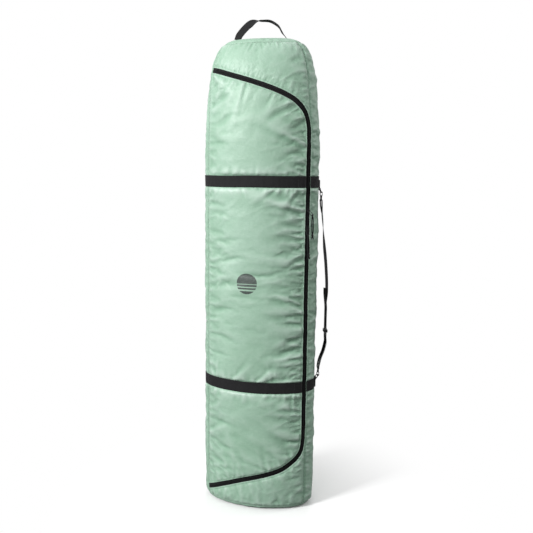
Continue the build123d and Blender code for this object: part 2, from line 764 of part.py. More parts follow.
def handle_anchors():
    """Stitched-down webbing ends on the top panel."""
    with BuildPart() as anchors:
        for x in ANCHOR_XS:
            with BuildSketch(Plane.XY.offset(HEIGHT + 0.1)):
                with Locations((x, 0)):
                    RectangleRounded(ANCHOR_SIZE, ANCHOR_SIZE, 1.5)
            extrude(amount=ANCHOR_T)
    return anchors.part


export("haul_handle", haul_handle())
export("handle_anchors", handle_anchors())
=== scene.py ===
"""A tall stuffed bag of green cloth, 1.6 m high, standing upright on z = 0.

The plan is a flat ellipse: the front faces -Y, the left seam is at -X, and the shoulder
strap hangs on the +X side. A front flap turns about the left seam and closes with a zip.
Two belts of webbing go round the bag and a haul handle stands on top.

The skin is laid out flat in (u, v): u runs round the girth from the left seam, across the
front to +X and on round the back; v runs up the side. Lengths are in metres.
"""

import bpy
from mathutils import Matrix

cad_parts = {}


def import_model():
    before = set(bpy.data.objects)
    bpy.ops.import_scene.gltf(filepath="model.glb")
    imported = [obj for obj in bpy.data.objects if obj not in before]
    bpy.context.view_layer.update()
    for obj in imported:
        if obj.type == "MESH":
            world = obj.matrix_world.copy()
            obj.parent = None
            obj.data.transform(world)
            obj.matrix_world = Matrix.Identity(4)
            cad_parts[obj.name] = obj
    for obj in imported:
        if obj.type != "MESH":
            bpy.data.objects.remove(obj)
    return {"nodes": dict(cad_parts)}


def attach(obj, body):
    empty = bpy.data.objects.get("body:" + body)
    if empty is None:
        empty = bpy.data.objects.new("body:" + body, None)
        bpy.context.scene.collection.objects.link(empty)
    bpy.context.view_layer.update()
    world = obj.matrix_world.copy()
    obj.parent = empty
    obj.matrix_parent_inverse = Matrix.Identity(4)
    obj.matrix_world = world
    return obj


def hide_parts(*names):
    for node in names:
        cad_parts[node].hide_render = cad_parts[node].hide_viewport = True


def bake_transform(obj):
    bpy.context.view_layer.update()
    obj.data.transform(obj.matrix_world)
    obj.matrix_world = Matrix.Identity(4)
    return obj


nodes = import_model()["nodes"]

import math

import bmesh
import bpy
import numpy as np
from mathutils import Matrix, Vector
from mathutils.bvhtree import BVHTree
from mathutils.geometry import delaunay_2d_cdt

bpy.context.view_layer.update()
scene = bpy.context.scene
TAU = 2 * math.pi

# ---------------------------------------------------------------- main sizes
# height, half width, half depth, in mm
OUTLINE = np.array([
    (0, 172, 86), (4, 182, 94), (12, 189.5, 100.8), (25, 193.6, 104.6), (45, 195, 106),
    (1240, 195, 106), (1300, 193.2, 105), (1350, 189.8, 102), (1400, 186, 97.5),
    (1440, 182.6, 91.8), (1480, 177.3, 84), (1520, 168.6, 74), (1545, 160.5, 66),
    (1565, 150.5, 58), (1583, 135, 48.5), (1594, 116, 39.5), (1600, 97, 30),
]) / 1000.0
HALF_WIDTH, HALF_DEPTH = 0.195, 0.106    # of the straight part
TOTAL_HEIGHT = 1.6
Z_BASE, Z_TOP = 0.014, 1.586             # heights of the rim seams
BELTS = (1.137, 0.442)                   # centre heights, upper and lower
BELT_HALF = 0.019
LEFT_SEAM_COS = -0.892                   # x / half width at the left seam
RIGHT_SEAM_COS = 0.893
BACK_SEAM_COS = 0.82
RIGHT_SEAM_LOW, RIGHT_SEAM_HIGH = 0.290, 1.262   # the right front seam has a gap between these
ZIP_X = 0.169                            # the zip's straight right-hand run
ZIP_EDGE = 0.0090                        # the cloth's folded edge to the zip's centre
CLOTH_THICK = 0.0013


# ---------------------------------------------------------------- curves and vectors
def running_sum(steps):
    return np.concatenate([[0], np.cumsum(steps)])


def path_length(points):
    """Length from the start to each point."""
    return running_sum(np.linalg.norm(np.diff(points, axis=0), axis=1))


def interp_points(at, run, points):
    """Points at given lengths along a path whose own lengths are run."""
    return np.stack([np.interp(at, run, points[:, k]) for k in range(points.shape[1])], -1)


def resample(points, gap):
    points = np.asarray(points, float)
    run = path_length(points)
    count = max(2, int(round(run[-1] / gap)) + 1)
    return interp_points(np.linspace(0, run[-1], count), run, points)


def catmull(points, steps=10):
    """Catmull-Rom curve through the points."""
    p = np.asarray(points, float)
    p = np.vstack([2 * p[0] - p[1], p, 2 * p[-1] - p[-2]])
    out = []
    for i in range(1, len(p) - 2):
        for t in np.arange(steps) / steps:
            a, b, c, d = p[i - 1], p[i], p[i + 1], p[i + 2]
            out.append(0.5 * (2 * b + (c - a) * t + (2 * a - 5 * b + 4 * c - d) * t * t
                              + (3 * b - a - 3 * c + d) * t ** 3))
    out.append(p[-2])
    return np.array(out)


def unit(v):
    return v / np.maximum(np.linalg.norm(v, axis=-1, keepdims=True), 1e-12)


def smoothstep(x, low, high):
    t = np.clip((x - low) / (high - low), 0, 1)
    return t * t * (3 - 2 * t)


def soft_limit(x, low, high):
    """Eases x towards -low and high."""
    return np.where(x > 0, high * np.tanh(x / high), -low * np.tanh(-x / low))


def pchip(xs, ys):
    """Monotone cubic through the points (xs, ys)."""
    h = np.diff(xs)
    d = np.diff(ys) / h
    m = np.zeros_like(ys)
    for i in range(1, len(xs) - 1):
        if d[i - 1] * d[i] > 0:
            w1, w2 = 2 * h[i] + h[i - 1], h[i] + 2 * h[i - 1]
            m[i] = (w1 + w2) / (w1 / d[i - 1] + w2 / d[i])
    m[0], m[-1] = d[0], d[-1]

    def curve(x):
        x = np.clip(np.asarray(x, float), xs[0], xs[-1])
        i = np.clip(np.searchsorted(xs, x) - 1, 0, len(h) - 1)
        t = (x - xs[i]) / h[i]
        return ((1 + 2 * t) * (1 - t) ** 2 * ys[i] + t * (1 - t) ** 2 * h[i] * m[i]
                + t * t * (3 - 2 * t) * ys[i + 1] + t * t * (t - 1) * h[i] * m[i + 1])
    return curve


# ---------------------------------------------------------------- smooth value noise, -1..1
PERM = np.random.default_rng(3).permutation(4096)


def noise2(x, y, seed=0):
    xi, yi = np.floor(x).astype(int), np.floor(y).astype(int)
    fx, fy = x - xi, y - yi
    fx = fx * fx * fx * (fx * (fx * 6 - 15) + 10)
    fy = fy * fy * fy * (fy * (fy * 6 - 15) + 10)

    def corner(i, j):
        mixed = i * 131 + j * 977 + seed * 613 + PERM[(i + seed * 17) % 4096]
        return PERM[mixed % 4096] / 2048.0 - 1
    low = corner(xi, yi) * (1 - fx) + corner(xi + 1, yi) * fx
    high = corner(xi, yi + 1) * (1 - fx) + corner(xi + 1, yi + 1) * fx
    return low * (1 - fy) + high * fy


def layered_noise(x, y, seed=0, octaves=3):
    out, amp, total = 0, 1.0, 0
    for o in range(octaves):
        out = out + amp * noise2(x * 2 ** o, y * 2 ** o, seed + 31 * o)
        total += amp
        amp *= 0.5
    return out / total


# ---------------------------------------------------------------- the outline in (u, v)
half_width = pchip(OUTLINE[:, 0], OUTLINE[:, 1])
half_depth = pchip(OUTLINE[:, 0], OUTLINE[:, 2])
LEFT_ANGLE = TAU - math.acos(LEFT_SEAM_COS)
ANGLES = np.linspace(LEFT_ANGLE - 0.7, LEFT_ANGLE + TAU + 0.7, 12001)
GIRTHS = running_sum(np.hypot(np.diff(HALF_WIDTH * np.cos(ANGLES)),
                              np.diff(HALF_DEPTH * np.sin(ANGLES))))
GIRTHS -= np.interp(LEFT_ANGLE, ANGLES, GIRTHS)
PERIMETER = float(np.interp(LEFT_ANGLE + TAU, ANGLES, GIRTHS))
HEIGHTS = np.linspace(0, TOTAL_HEIGHT, 6401)
CLIMBS = running_sum(np.hypot(np.diff(HEIGHTS), np.diff(half_width(HEIGHTS))))


def u_of_angle(angle):
    return np.interp(angle, ANGLES, GIRTHS)


def v_of_z(z):
    return np.interp(z, HEIGHTS, CLIMBS)


def z_of_v(v):
    return np.interp(v, CLIMBS, HEIGHTS)


def surface(u, v):
    """Point of the smooth outline at (u, v)."""
    z = z_of_v(v)
    angle = np.interp(u, GIRTHS, ANGLES)
    return np.stack([half_width(z) * np.cos(angle), half_depth(z) * np.sin(angle), z], -1)


def tangents(u, v, h=4e-4):
    """Directions of u and v on the outline, and its outward normal."""
    du = (surface(u + h, v) - surface(u - h, v)) / (2 * h)
    dv = (surface(u, v + h) - surface(u, v - h)) / (2 * h)
    return du, dv, unit(np.cross(du, dv))


def front_uv(x, z):
    """(u, v) of a point on the front given in front view."""
    x, z = np.asarray(x, float), np.asarray(z, float)
    return u_of_angle(TAU - np.arccos(np.clip(x / half_width(z), -1, 1))), v_of_z(z)


V_BASE, V_TOP = float(v_of_z(Z_BASE)), float(v_of_z(Z_TOP))
V_BELTS = [float(v_of_z(z)) for z in BELTS]

# ---------------------------------------------------------------- the zip's line
# x, z of the zip's centre in front view, in mm, from the top left
ZIP_POINTS = np.array([
    (-170.5, 1504), (-150, 1498.5), (-130, 1492.5), (-81, 1477), (-25, 1460), (30, 1442),
    (70, 1427), (100, 1413), (122, 1400), (139, 1385), (151.5, 1368), (160.5, 1347), (166, 1325),
    (168.6, 1298), (169, 1270), (169, 1180), (169, 1060), (169, 900), (169, 740), (169, 580),
    (169, 420), (169, 330), (169, 275), (168, 246), (164.5, 221), (156.5, 201), (142, 183),
    (120, 164), (100, 151), (73.5, 140), (46, 131), (18, 122), (-39, 104), (-100, 79),
    (-135, 62), (-172.5, 42)]) / 1000.0
_curve = catmull(ZIP_POINTS)
_u, _v = front_uv(_curve[:, 0], _curve[:, 1])
_run = path_length(surface(_u, _v))
ZIP_RUN = np.arange(0, _run[-1], 0.002)
ZIP_U, ZIP_V = np.interp(ZIP_RUN, _run, _u), np.interp(ZIP_RUN, _run, _v)
ZIP_UV = np.stack([ZIP_U, ZIP_V], 1)
ZIP_DU, ZIP_DV, ZIP_NORMAL = tangents(ZIP_U, ZIP_V)
ZIP_CENTRE = surface(ZIP_U, ZIP_V)
ZIP_ALONG = unit(np.gradient(ZIP_CENTRE, axis=0))
ZIP_SIDE = unit(np.cross(ZIP_ALONG, ZIP_NORMAL))
if ZIP_SIDE[len(ZIP_SIDE) // 2, 0] < 0:    # make it point to the body side
    ZIP_SIDE = -ZIP_SIDE


def zip_offset(width):
    """(u, v) of the line lying width to the body side (+) or flap side (-) of the zip."""
    out = []
    for k in range(len(ZIP_U)):
        axes = np.stack([ZIP_DU[k], ZIP_DV[k]], 1)
        move = np.linalg.lstsq(axes, ZIP_SIDE[k] * width, rcond=None)[0]
        out.append((ZIP_U[k] + move[0], ZIP_V[k] + move[1]))
    return np.array(out)


FLAP_EDGE, BODY_EDGE = zip_offset(-ZIP_EDGE), zip_offset(ZIP_EDGE)

# ---------------------------------------------------------------- seams
SEAM_Z = np.concatenate([np.linspace(Z_BASE, 0.06, 8), np.linspace(0.07, 1.24, 120),
                         np.linspace(1.25, Z_TOP, 60)])
# height and share of the half width at which the left seam lies
_left_share = np.interp(SEAM_Z, [0, .045, 1.3, 1.4, 1.5, 1.55, 1.6],
                        [.88, .892, .892, .925, .96, .95, .92])
SEAM_LEFT = np.stack([u_of_angle(TAU - np.arccos(-_left_share)), v_of_z(SEAM_Z)], 1)


def upright_seam(angle):
    return np.stack([np.full_like(SEAM_Z, u_of_angle(angle)), v_of_z(SEAM_Z)], 1)


def between(line, low=-1.0, high=9.0):
    """The part of a (u, v) line between two heights."""
    z = z_of_v(line[:, 1])
    return line[(z > low) & (z < high)]


def seam_u(line, v):
    return np.interp(v, line[:, 1], line[:, 0])


SEAM_RIGHT = upright_seam(TAU - math.acos(RIGHT_SEAM_COS))
SEAM_RIGHT_LOW = between(SEAM_RIGHT, high=RIGHT_SEAM_LOW)
SEAM_RIGHT_HIGH = between(SEAM_RIGHT, low=RIGHT_SEAM_HIGH)
SEAM_BACK_RIGHT = upright_seam(TAU + math.acos(BACK_SEAM_COS))
SEAM_BACK_LEFT = upright_seam(TAU + math.acos(-BACK_SEAM_COS))
SEAMS = [SEAM_LEFT, SEAM_BACK_RIGHT, SEAM_BACK_LEFT, SEAM_RIGHT_LOW, SEAM_RIGHT_HIGH]


# ---------------------------------------------------------------- distances in (u, v)
def nearest(samples, q, chunk=8000):
    """Distance from each point of q to the nearest sample."""
    d = np.empty(len(q))
    for i in range(0, len(q), chunk):
        squares = ((q[i:i + chunk, None, :] - samples[None]) ** 2).sum(-1)
        d[i:i + chunk] = np.sqrt(squares.min(1))
    return d


def zip_distance(q):
    """Distance to the zip's centre line; points on the back count as far off."""
    return np.where(q[:, 0] < u_of_angle(TAU + 0.5), nearest(ZIP_UV, q), 9.0)


def seam_distance(q, lines):
    out = np.full(len(q), 9.0)
    for line in lines:
        row = resample(line, 0.004)
        for shift in (-PERIMETER, 0.0, PERIMETER):
            s = row + np.array([shift, 0])
            near = (q[:, 0] > s[:, 0].min() - 0.12) & (q[:, 0] < s[:, 0].max() + 0.12)
            if near.any():
                out[near] = np.minimum(out[near], nearest(s, q[near]))
    return out


def line_distances(q):
    """Distances to the zip, the upright seams, the belts' centres and the rim seams."""
    v = q[:, 1]
    belt = np.minimum(np.abs(v - V_BELTS[0]), np.abs(v - V_BELTS[1]))
    return zip_distance(q), seam_distance(q, SEAMS), belt, np.minimum(v - V_BASE, V_TOP - v)


def sewn_down(to_zip, to_seam, to_belt, to_rim):
    """Which points are held fast."""
    return ((to_seam < 0.0012) | (to_zip < ZIP_EDGE + 0.0010) | (to_belt < BELT_HALF + 0.0005)
            | (to_rim < 0.001))


def push_limit(q):
    """How far stuffing may push the cloth out: little under the rings, hooks and pulls."""
    free, held = 0.0105, 0.0012
    side_u = float(u_of_angle(TAU + math.atan2(0.015 / HALF_DEPTH,
                                               math.sqrt(1 - (0.015 / HALF_DEPTH) ** 2))))

    def limit(limits, across, z_low, z_high, fade):
        above = np.maximum(float(v_of_z(z_low)) - q[:, 1], q[:, 1] - float(v_of_z(z_high)))
        r = np.hypot(np.maximum(across, 0), np.maximum(above, 0))
        return np.minimum(limits, held + 0.0093 * smoothstep(r, 0.0, fade))

    out = np.full(len(q), free)
    for z_low, z_high in ((1.045, 1.125), (0.450, 0.525)):
        out = limit(out, np.abs(q[:, 0] - side_u) - 0.017, z_low, z_high, fade=0.035)
    return limit(out, zip_distance(q) - 0.010, 0.92, 1.06, fade=0.022)


def inside(poly, q):
    """Which points q are in the polygon."""
    x, y = q[:, 0], q[:, 1]
    result = np.zeros(len(q), bool)
    px, py = poly[:, 0], poly[:, 1]
    j = len(poly) - 1
    for i in range(len(poly)):
        hit = (py[i] > y) != (py[j] > y)
        with np.errstate(divide="ignore", invalid="ignore"):
            cross_x = (px[j] - px[i]) * (y - py[i]) / (py[j] - py[i] + 1e-15) + px[i]
        result ^= hit & (x < cross_x)
        j = i
    return result


# ---------------------------------------------------------------- mesh helpers
def tri_edges(f):
    return np.vstack([f[:, [0, 1]], f[:, [1, 2]], f[:, [2, 0]]])


def face_normals(p, f):
    return np.cross(p[f[:, 1]] - p[f[:, 0]], p[f[:, 2]] - p[f[:, 0]])


def vertex_normals(p, f):
    n = face_normals(p, f)
    out = np.zeros_like(p)
    for k in range(3):
        for c in range(3):
            out[:, c] += np.bincount(f[:, k], n[:, c], len(p))
    return unit(out)


def compact(faces):
    """The vertices that faces use, and the faces renumbered to them."""
    used, back = np.unique(faces, return_inverse=True)
    return used, back.reshape(faces.shape)


def subdivide(p, f):
    """Splits each triangle in four; also returns each new point's two parents."""
    edges, back = np.unique(np.sort(tri_edges(f), 1), axis=0, return_inverse=True)
    m = (len(p) + back).reshape(3, -1)
    a, b, c = f.T
    corners = ((a, m[0], m[2]), (m[0], b, m[1]), (m[2], m[1], c), (m[0], m[1], m[2]))
    return (np.vstack([p, p[edges].mean(1)]), np.vstack([np.stack(t, 1) for t in corners]),
            edges)


def smooth_field(x, f, rounds, weight, keep=None):
    """Averages a per-vertex field with its neighbours."""
    e = np.unique(np.sort(tri_edges(f), 1), axis=0)
    count = np.bincount(e.ravel(), minlength=len(x)).astype(float)
    cols = x.reshape(len(x), -1).copy()
    for _ in range(rounds):
        for k in range(cols.shape[1]):
            total = (np.bincount(e[:, 0], cols[e[:, 1], k], len(x))
                     + np.bincount(e[:, 1], cols[e[:, 0], k], len(x)))
            new = cols[:, k] + weight * (total / np.maximum(count, 1) - cols[:, k])
            cols[:, k] = np.where(keep, cols[:, k], new) if keep is not None else new
    return cols.reshape(x.shape)


def mesh_object(name, verts, faces, uv=None, slots=None, materials=()):
    """Smooth-shaded object; uv is per vertex and slots per face."""
    me = bpy.data.meshes.new(name)
    me.from_pydata([tuple(map(float, v)) for v in verts], [], [tuple(map(int, t)) for t in faces])
    if uv is not None:
        layer = me.uv_layers.new(name="UVMap")
        index = np.empty(len(me.loops), np.int32)
        me.loops.foreach_get("vertex_index", index)
        layer.data.foreach_set("uv", np.asarray(uv, np.float32)[index].ravel())
    me.polygons.foreach_set("use_smooth", np.ones(len(me.polygons), bool))
    if slots is not None:
        me.polygons.foreach_set("material_index", np.array(slots, np.int32))
    for material in materials:
        me.materials.append(material)
    me.update()
    obj = bpy.data.objects.new(name, me)
    scene.collection.objects.link(obj)
    return obj


def face_outward(obj):
    bm = bmesh.new()
    bm.from_mesh(obj.data)
    bmesh.ops.recalc_face_normals(bm, faces=bm.faces)
    bm.to_mesh(obj.data)
    bm.free()
    obj.data.update()


def ring_faces(rings, sides):
    """Quads between successive rings of vertices, and the two end faces."""
    faces = []
    for i in range(rings - 1):
        for j in range(sides):
            k = (j + 1) % sides
            faces.append((i * sides + j, i * sides + k, (i + 1) * sides + k, (i + 1) * sides + j))
    faces.append(tuple(range(sides))[::-1])
    faces.append(tuple((rings - 1) * sides + j for j in range(sides)))
    return faces


def plain_uv(v):
    return np.stack([v[:, 0] + v[:, 1], v[:, 2]], 1)


def join_parts(name, materials, groups):
    """One mesh from {material slot: [(verts, faces[, uv]), ...]}."""
    verts, faces, slots, uvs, start = [], [], [], [], 0
    for slot, parts in groups.items():
        for part in parts:
            v = np.asarray(part[0], float)
            verts.append(v)
            faces += [tuple(int(x) + start for x in t) for t in part[1]]
            slots += [slot] * len(part[1])
            uvs.append(part[2] if len(part) > 2 else plain_uv(v))
            start += len(v)
    obj = mesh_object(name, np.vstack(verts), faces, np.vstack(uvs), slots, materials)
    face_outward(obj)
    return obj


def register(obj, group):
    """Ties an object to its moving group; a flap piece only has its transform baked. Each vis_
    piece stands in for its CAD piece.
    """
    if group == "flap":
        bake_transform(obj)
    else:
        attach(obj, group)
    if obj.name.startswith("vis_"):
        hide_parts(obj.name.removeprefix("vis_"))


# ---------------------------------------------------------------- the skin's flat mesh
grid_rng = np.random.default_rng(7)


def cloth_mesh(coarse=0.0085, fine=0.0052, fine_reach=0.062):
    """Flat triangles with edges along every seam, belt and zip edge; finer by the zip."""
    left = resample(SEAM_LEFT, 0.007)
    right = left + np.array([PERIMETER, 0])
    lines = [left, right]
    for end in (0, -1):
        lines.append(resample([left[end], right[end]], 0.007))
    for edge in (FLAP_EDGE, BODY_EDGE):
        row = resample(edge, 0.0045)
        lines.append(row[row[:, 0] > seam_u(left, row[:, 1]) + 0.0015])
    for line, gap in ((SEAM_RIGHT_LOW, 0.006), (SEAM_RIGHT_HIGH, 0.006),
                      (SEAM_BACK_RIGHT, 0.007), (SEAM_BACK_LEFT, 0.007)):
        lines.append(resample(line, gap))
    for z in BELTS:
        for side in (-1, 1):
            v = float(v_of_z(z + side * BELT_HALF))
            lines.append(resample([[0.0, v], [PERIMETER, v]], 0.007))
    edges, start = [], 0
    for line in lines:
        edges += [(start + i, start + i + 1) for i in range(len(line) - 1)]
        start += len(line)
    fixed = np.vstack(lines)

    def hex_grid(gap):
        us = np.arange(-0.06, PERIMETER + 0.06, gap)
        vs = np.arange(V_BASE + gap * 0.5, V_TOP, gap * 0.866)
        grid = np.vstack([np.stack([us + (0.5 * gap if j % 2 else 0), np.full_like(us, v)], 1)
                          for j, v in enumerate(vs)])
        return grid + grid_rng.uniform(-0.16, 0.16, grid.shape) * gap

    wide_grid, close_grid = hex_grid(coarse), hex_grid(fine)
    wide_grid = wide_grid[nearest(ZIP_UV[::2], wide_grid) > fine_reach]
    close_grid = close_grid[nearest(ZIP_UV[::2], close_grid) <= fine_reach]
    points = np.vstack([wide_grid, close_grid])
    gaps = np.concatenate([np.full(len(wide_grid), coarse), np.full(len(close_grid), fine)])

    def within(q, margin):
        start_u = seam_u(left, q[:, 1])
        return ((q[:, 0] > start_u + margin) & (q[:, 0] < start_u + PERIMETER - margin)
                & (q[:, 1] > V_BASE + margin) & (q[:, 1] < V_TOP - margin))

    ok = within(points, 0.3 * gaps)
    points, gaps = points[ok], gaps[ok]
    points = points[nearest(fixed, points) > 0.55 * gaps]
    corners = [Vector((float(u), float(v))) for u, v in np.vstack([fixed, points])]
    result = delaunay_2d_cdt(corners, edges, [], 0, 1e-5)
    flat = np.array([tuple(v) for v in result[0]])
    tris = np.array([t for t in result[2] if len(t) == 3], int)
    ok = within(flat[tris].mean(1), 0.0)
    a = flat[tris]
    area = np.abs(np.cross(a[:, 1] - a[:, 0], a[:, 2] - a[:, 0]))
    used, tris = compact(tris[ok & (area > 1e-9)])
    return flat[used], tris


def drape(q, f):
    """Cloth a little too large for its stuffing, sewn down and pushed out from inside."""
    p = surface(q[:, 0], q[:, 1])
    obj = mesh_object("stuffing_form", p, f)
    group = obj.vertex_groups.new(name="sewn")
    group.add([int(i) for i in np.nonzero(sewn_down(*line_distances(q)))[0]], 1.0, "REPLACE")
    cloth = obj.modifiers.new("Cloth", "CLOTH")
    for key, value in dict(
            quality=5, mass=0.25, tension_stiffness=12, compression_stiffness=12,
            shear_stiffness=4, bending_stiffness=0.05, tension_damping=4,
            compression_damping=4, shear_damping=3, bending_damping=0.4, air_damping=2,
            vertex_group_mass="sewn", pin_stiffness=1, use_pressure=True,
            uniform_pressure_force=3.4, shrink_min=-0.022).items():
        setattr(cloth.settings, key, value)
    cloth.settings.effector_weights.gravity = 0
    cloth.collision_settings.use_collision = False
    cloth.point_cache.frame_start, cloth.point_cache.frame_end = 1, 20
    for frame in range(1, 21):
        scene.frame_set(frame)
    result = obj.evaluated_get(bpy.context.evaluated_depsgraph_get()).data
    co = np.empty(len(result.vertices) * 3)
    result.vertices.foreach_get("co", co)
    scene.frame_set(1)
    bpy.data.objects.remove(obj, do_unlink=True)
    return co.reshape(-1, 3)


flat, tris = cloth_mesh()
outline_points = surface(flat[:, 0], flat[:, 1])
outline_normals = tangents(flat[:, 0], flat[:, 1])[2]
_inward = (face_normals(outline_points, tris) * outline_normals[tris[:, 0]]).sum(1) < 0
tris[_inward] = tris[_inward][:, ::-1]

# the draped shift, split into a push along the normal and a slide along the skin
shift = drape(flat, tris) - outline_points
push = (shift * outline_normals).sum(1)
slide = shift - push[:, None] * outline_normals
push = soft_limit(push, 0.006, push_limit(flat))
MAX_SLIDE = 0.006
_length = np.linalg.norm(slide, axis=1, keepdims=True)
slide *= np.where(_length > MAX_SLIDE, MAX_SLIDE / np.maximum(_length, 1e-9), 1.0)

FLAT, TRIS, _parents = subdivide(flat, tris)
U, V = FLAT[:, 0], FLAT[:, 1]
to_zip, to_seam, to_belt, to_rim = line_distances(FLAT)
to_left_seam = seam_distance(FLAT, [SEAM_LEFT])
_sewn = sewn_down(to_zip, to_seam, to_belt, to_rim)
push = np.concatenate([push, push[_parents].mean(1)])
slide = np.vstack([slide, slide[_parents].mean(1)])
push = smooth_field(push, TRIS, 2, 0.6, keep=_sewn)
slide = smooth_field(slide, TRIS, 2, 0.6, keep=_sewn)
outline_points = surface(U, V)
outline_normals = tangents(U, V)[2]

# ---------------------------------------------------------------- folds in the skin
relief = np.zeros(len(FLAT))
FOLD_SPREAD = 0.8
fold_rng = np.random.default_rng(21)
draw = fold_rng.uniform


def swing(size):
    return draw(-size, size)


def sometimes(chance, value, otherwise):
    return value if fold_rng.random() < chance else otherwise


def fold(start, end, width, height, skew, bend):
    """A ridge with dips beside it, from start, where it is tight, to end, where it dies out."""
    (u0, v0), (u1, v1) = start, end
    length = math.hypot(u1 - u0, v1 - v0)
    tu, tv = (u1 - u0) / length, (v1 - v0) / length
    reach = 3.5 * width * (1 + FOLD_SPREAD)
    near = ((U > min(u0, u1) - reach) & (U < max(u0, u1) + reach)
            & (V > min(v0, v1) - reach) & (V < max(v0, v1) + reach))
    q = FLAT[near] - np.array([u0, v0])
    a = (q[:, 0] * tu + q[:, 1] * tv) / length
    ahead = np.clip(a, 0, 1)
    x = -q[:, 0] * tv + q[:, 1] * tu - bend * length * a * a
    x = x / (width * (0.75 + FOLD_SPREAD * ahead))
    x = np.where(x > 0, x * (1 + skew), x * (1 - skew))
    profile = (0.5 * np.exp(-x * x) + 0.5 * np.exp(-1.7 * np.abs(x))
               - 0.42 * np.exp(-((np.abs(x) - 1.65) / 0.75) ** 2))
    fade = np.where(a < 0, np.exp(-(a * length / 0.006) ** 2),
                    np.clip(1 - a, 0, 1) ** 1.1 * (1 + 0.8 * ahead))
    relief[near] += height * profile * fade


def zip_folds(edge, away, lean, spacing, length, width, height, jitter):
    """Folds leaving one side of the zip; their strength changes with height on the bag."""
    run = path_length(edge)
    x = draw(0, spacing)
    while x < run[-1]:
        k = int(np.clip(np.searchsorted(run, x), 0, len(edge) - 1))
        turn = swing(0.35) - lean
        c, s = math.cos(turn), math.sin(turn)
        du, dv = away[k]
        reach = length * draw(0.55, 1.45)
        z = float(z_of_v(edge[k, 1]))
        strength = 0.40 if z > 1.39 else (0.75 if z > 1.30 else (1.2 if z > 0.46 else 0.62))
        start = edge[k] + away[k] * 0.004
        end = start + np.array([du * c - dv * s, du * s + dv * c]) * reach
        fold(start, end, width * draw(0.8, 1.25),
             strength * height * draw(0.4, 1.25) * sometimes(0.8, 1, -0.8),
             swing(0.3), swing(0.12))
        x += spacing * (1 + swing(jitter))


# spacing, length, width, height and jitter of each family: short puckers to long folds
FLAP_FOLDS = ((0.0150, 0.024, 0.0038, 0.0008, 0.35), (0.033, 0.085, 0.0076, 0.0034, 0.35),
              (0.068, 0.170, 0.0130, 0.0056, 0.4))
BODY_FOLDS = ((0.0125, 0.018, 0.0037, 0.0008, 0.35), (0.030, 0.048, 0.0070, 0.0020, 0.35),
              (0.090, 0.100, 0.0130, 0.0036, 0.4))
for side, edge, lean, families in ((-1, FLAP_EDGE, 0.18, FLAP_FOLDS),
                                   (1, BODY_EDGE, 0.0, BODY_FOLDS)):
    _slope = np.gradient(edge, axis=0)
    away = unit(np.stack([_slope[:, 1], -_slope[:, 0]], 1))
    away *= np.sign(((zip_offset(side * 0.03) - edge) * away).sum(1))[:, None]
    for family in families:
        zip_folds(edge, away, lean, *family)


def seam_folds(line, side, strength, spacing):
    """Puckers leaving one side (+1 or -1 in u) of a seam."""
    run = path_length(line)
    x = 0.004 * run[-1]
    while x < 0.996 * run[-1]:
        u, v = interp_points(x, run, line)
        length = draw(0.018, 0.055) * sometimes(0.2, 1.6, 1.0)
        fold((u + side * 0.003, v), (u + side * length, v + swing(0.4) * length),
             draw(0.0045, 0.0080), strength * draw(0.0004, 0.0022), swing(0.3), swing(0.15))
        x += spacing * (1 + swing(0.35))


# line, ((side, strength), ...), spacing
for line, sides, spacing in (
        (SEAM_LEFT, ((1, 1.0), (-1, 0.8)), 0.024),
        (SEAM_LEFT + np.array([PERIMETER, 0]), ((-1, 0.8),), 0.024),
        (SEAM_BACK_RIGHT, ((1, 0.9), (-1, 0.9)), 0.026),
        (SEAM_BACK_LEFT, ((1, 0.9), (-1, 0.9)), 0.026),
        (SEAM_RIGHT_HIGH, ((1, 1.0), (-1, 1.0)), 0.020),
        (SEAM_RIGHT_LOW, ((1, 1.0), (-1, 1.0)), 0.020)):
    for side, strength in sides:
        seam_folds(line, side, strength, spacing)

# gathers at the rim seams
for v, side, strength in ((V_TOP, -1, 1.0), (V_BASE, 1, 0.8)):
    u = 0.0
    while u < PERIMETER:
        length = draw(0.02, 0.07)
        fold((u, v + side * 0.002), (u + swing(0.35) * length, v + side * length),
             draw(0.0045, 0.0085), strength * draw(0.0005, 0.0022), swing(0.3), swing(0.15))
        u += draw(0.012, 0.026)

# gathers above and below the belts
for v in V_BELTS:
    for side in (-1, 1):
        u = 0.0
        while u < PERIMETER:
            length = draw(0.018, 0.060) * sometimes(0.18, 1.7, 1.0)
            fold((u, v + side * (BELT_HALF + 0.001)),
                 (u + swing(0.5) * length, v + side * (BELT_HALF + length)),
                 draw(0.005, 0.010), draw(0.0005, 0.0028), swing(0.4), swing(0.2))
            u += draw(0.014, 0.040)

# larger slumps over all the panels
for _ in range(60):
    u, v = draw(0.01, PERIMETER - 0.01), draw(V_BASE + 0.04, V_TOP - 0.04)
    heading = swing(0.55) + sometimes(0.5, math.pi, 0)
    length = draw(0.07, 0.20)
    fold((u, v), (u + length * math.cos(heading), v + length * math.sin(heading)),
         draw(0.012, 0.022), draw(-0.0018, 0.0034), swing(0.3), swing(0.25))

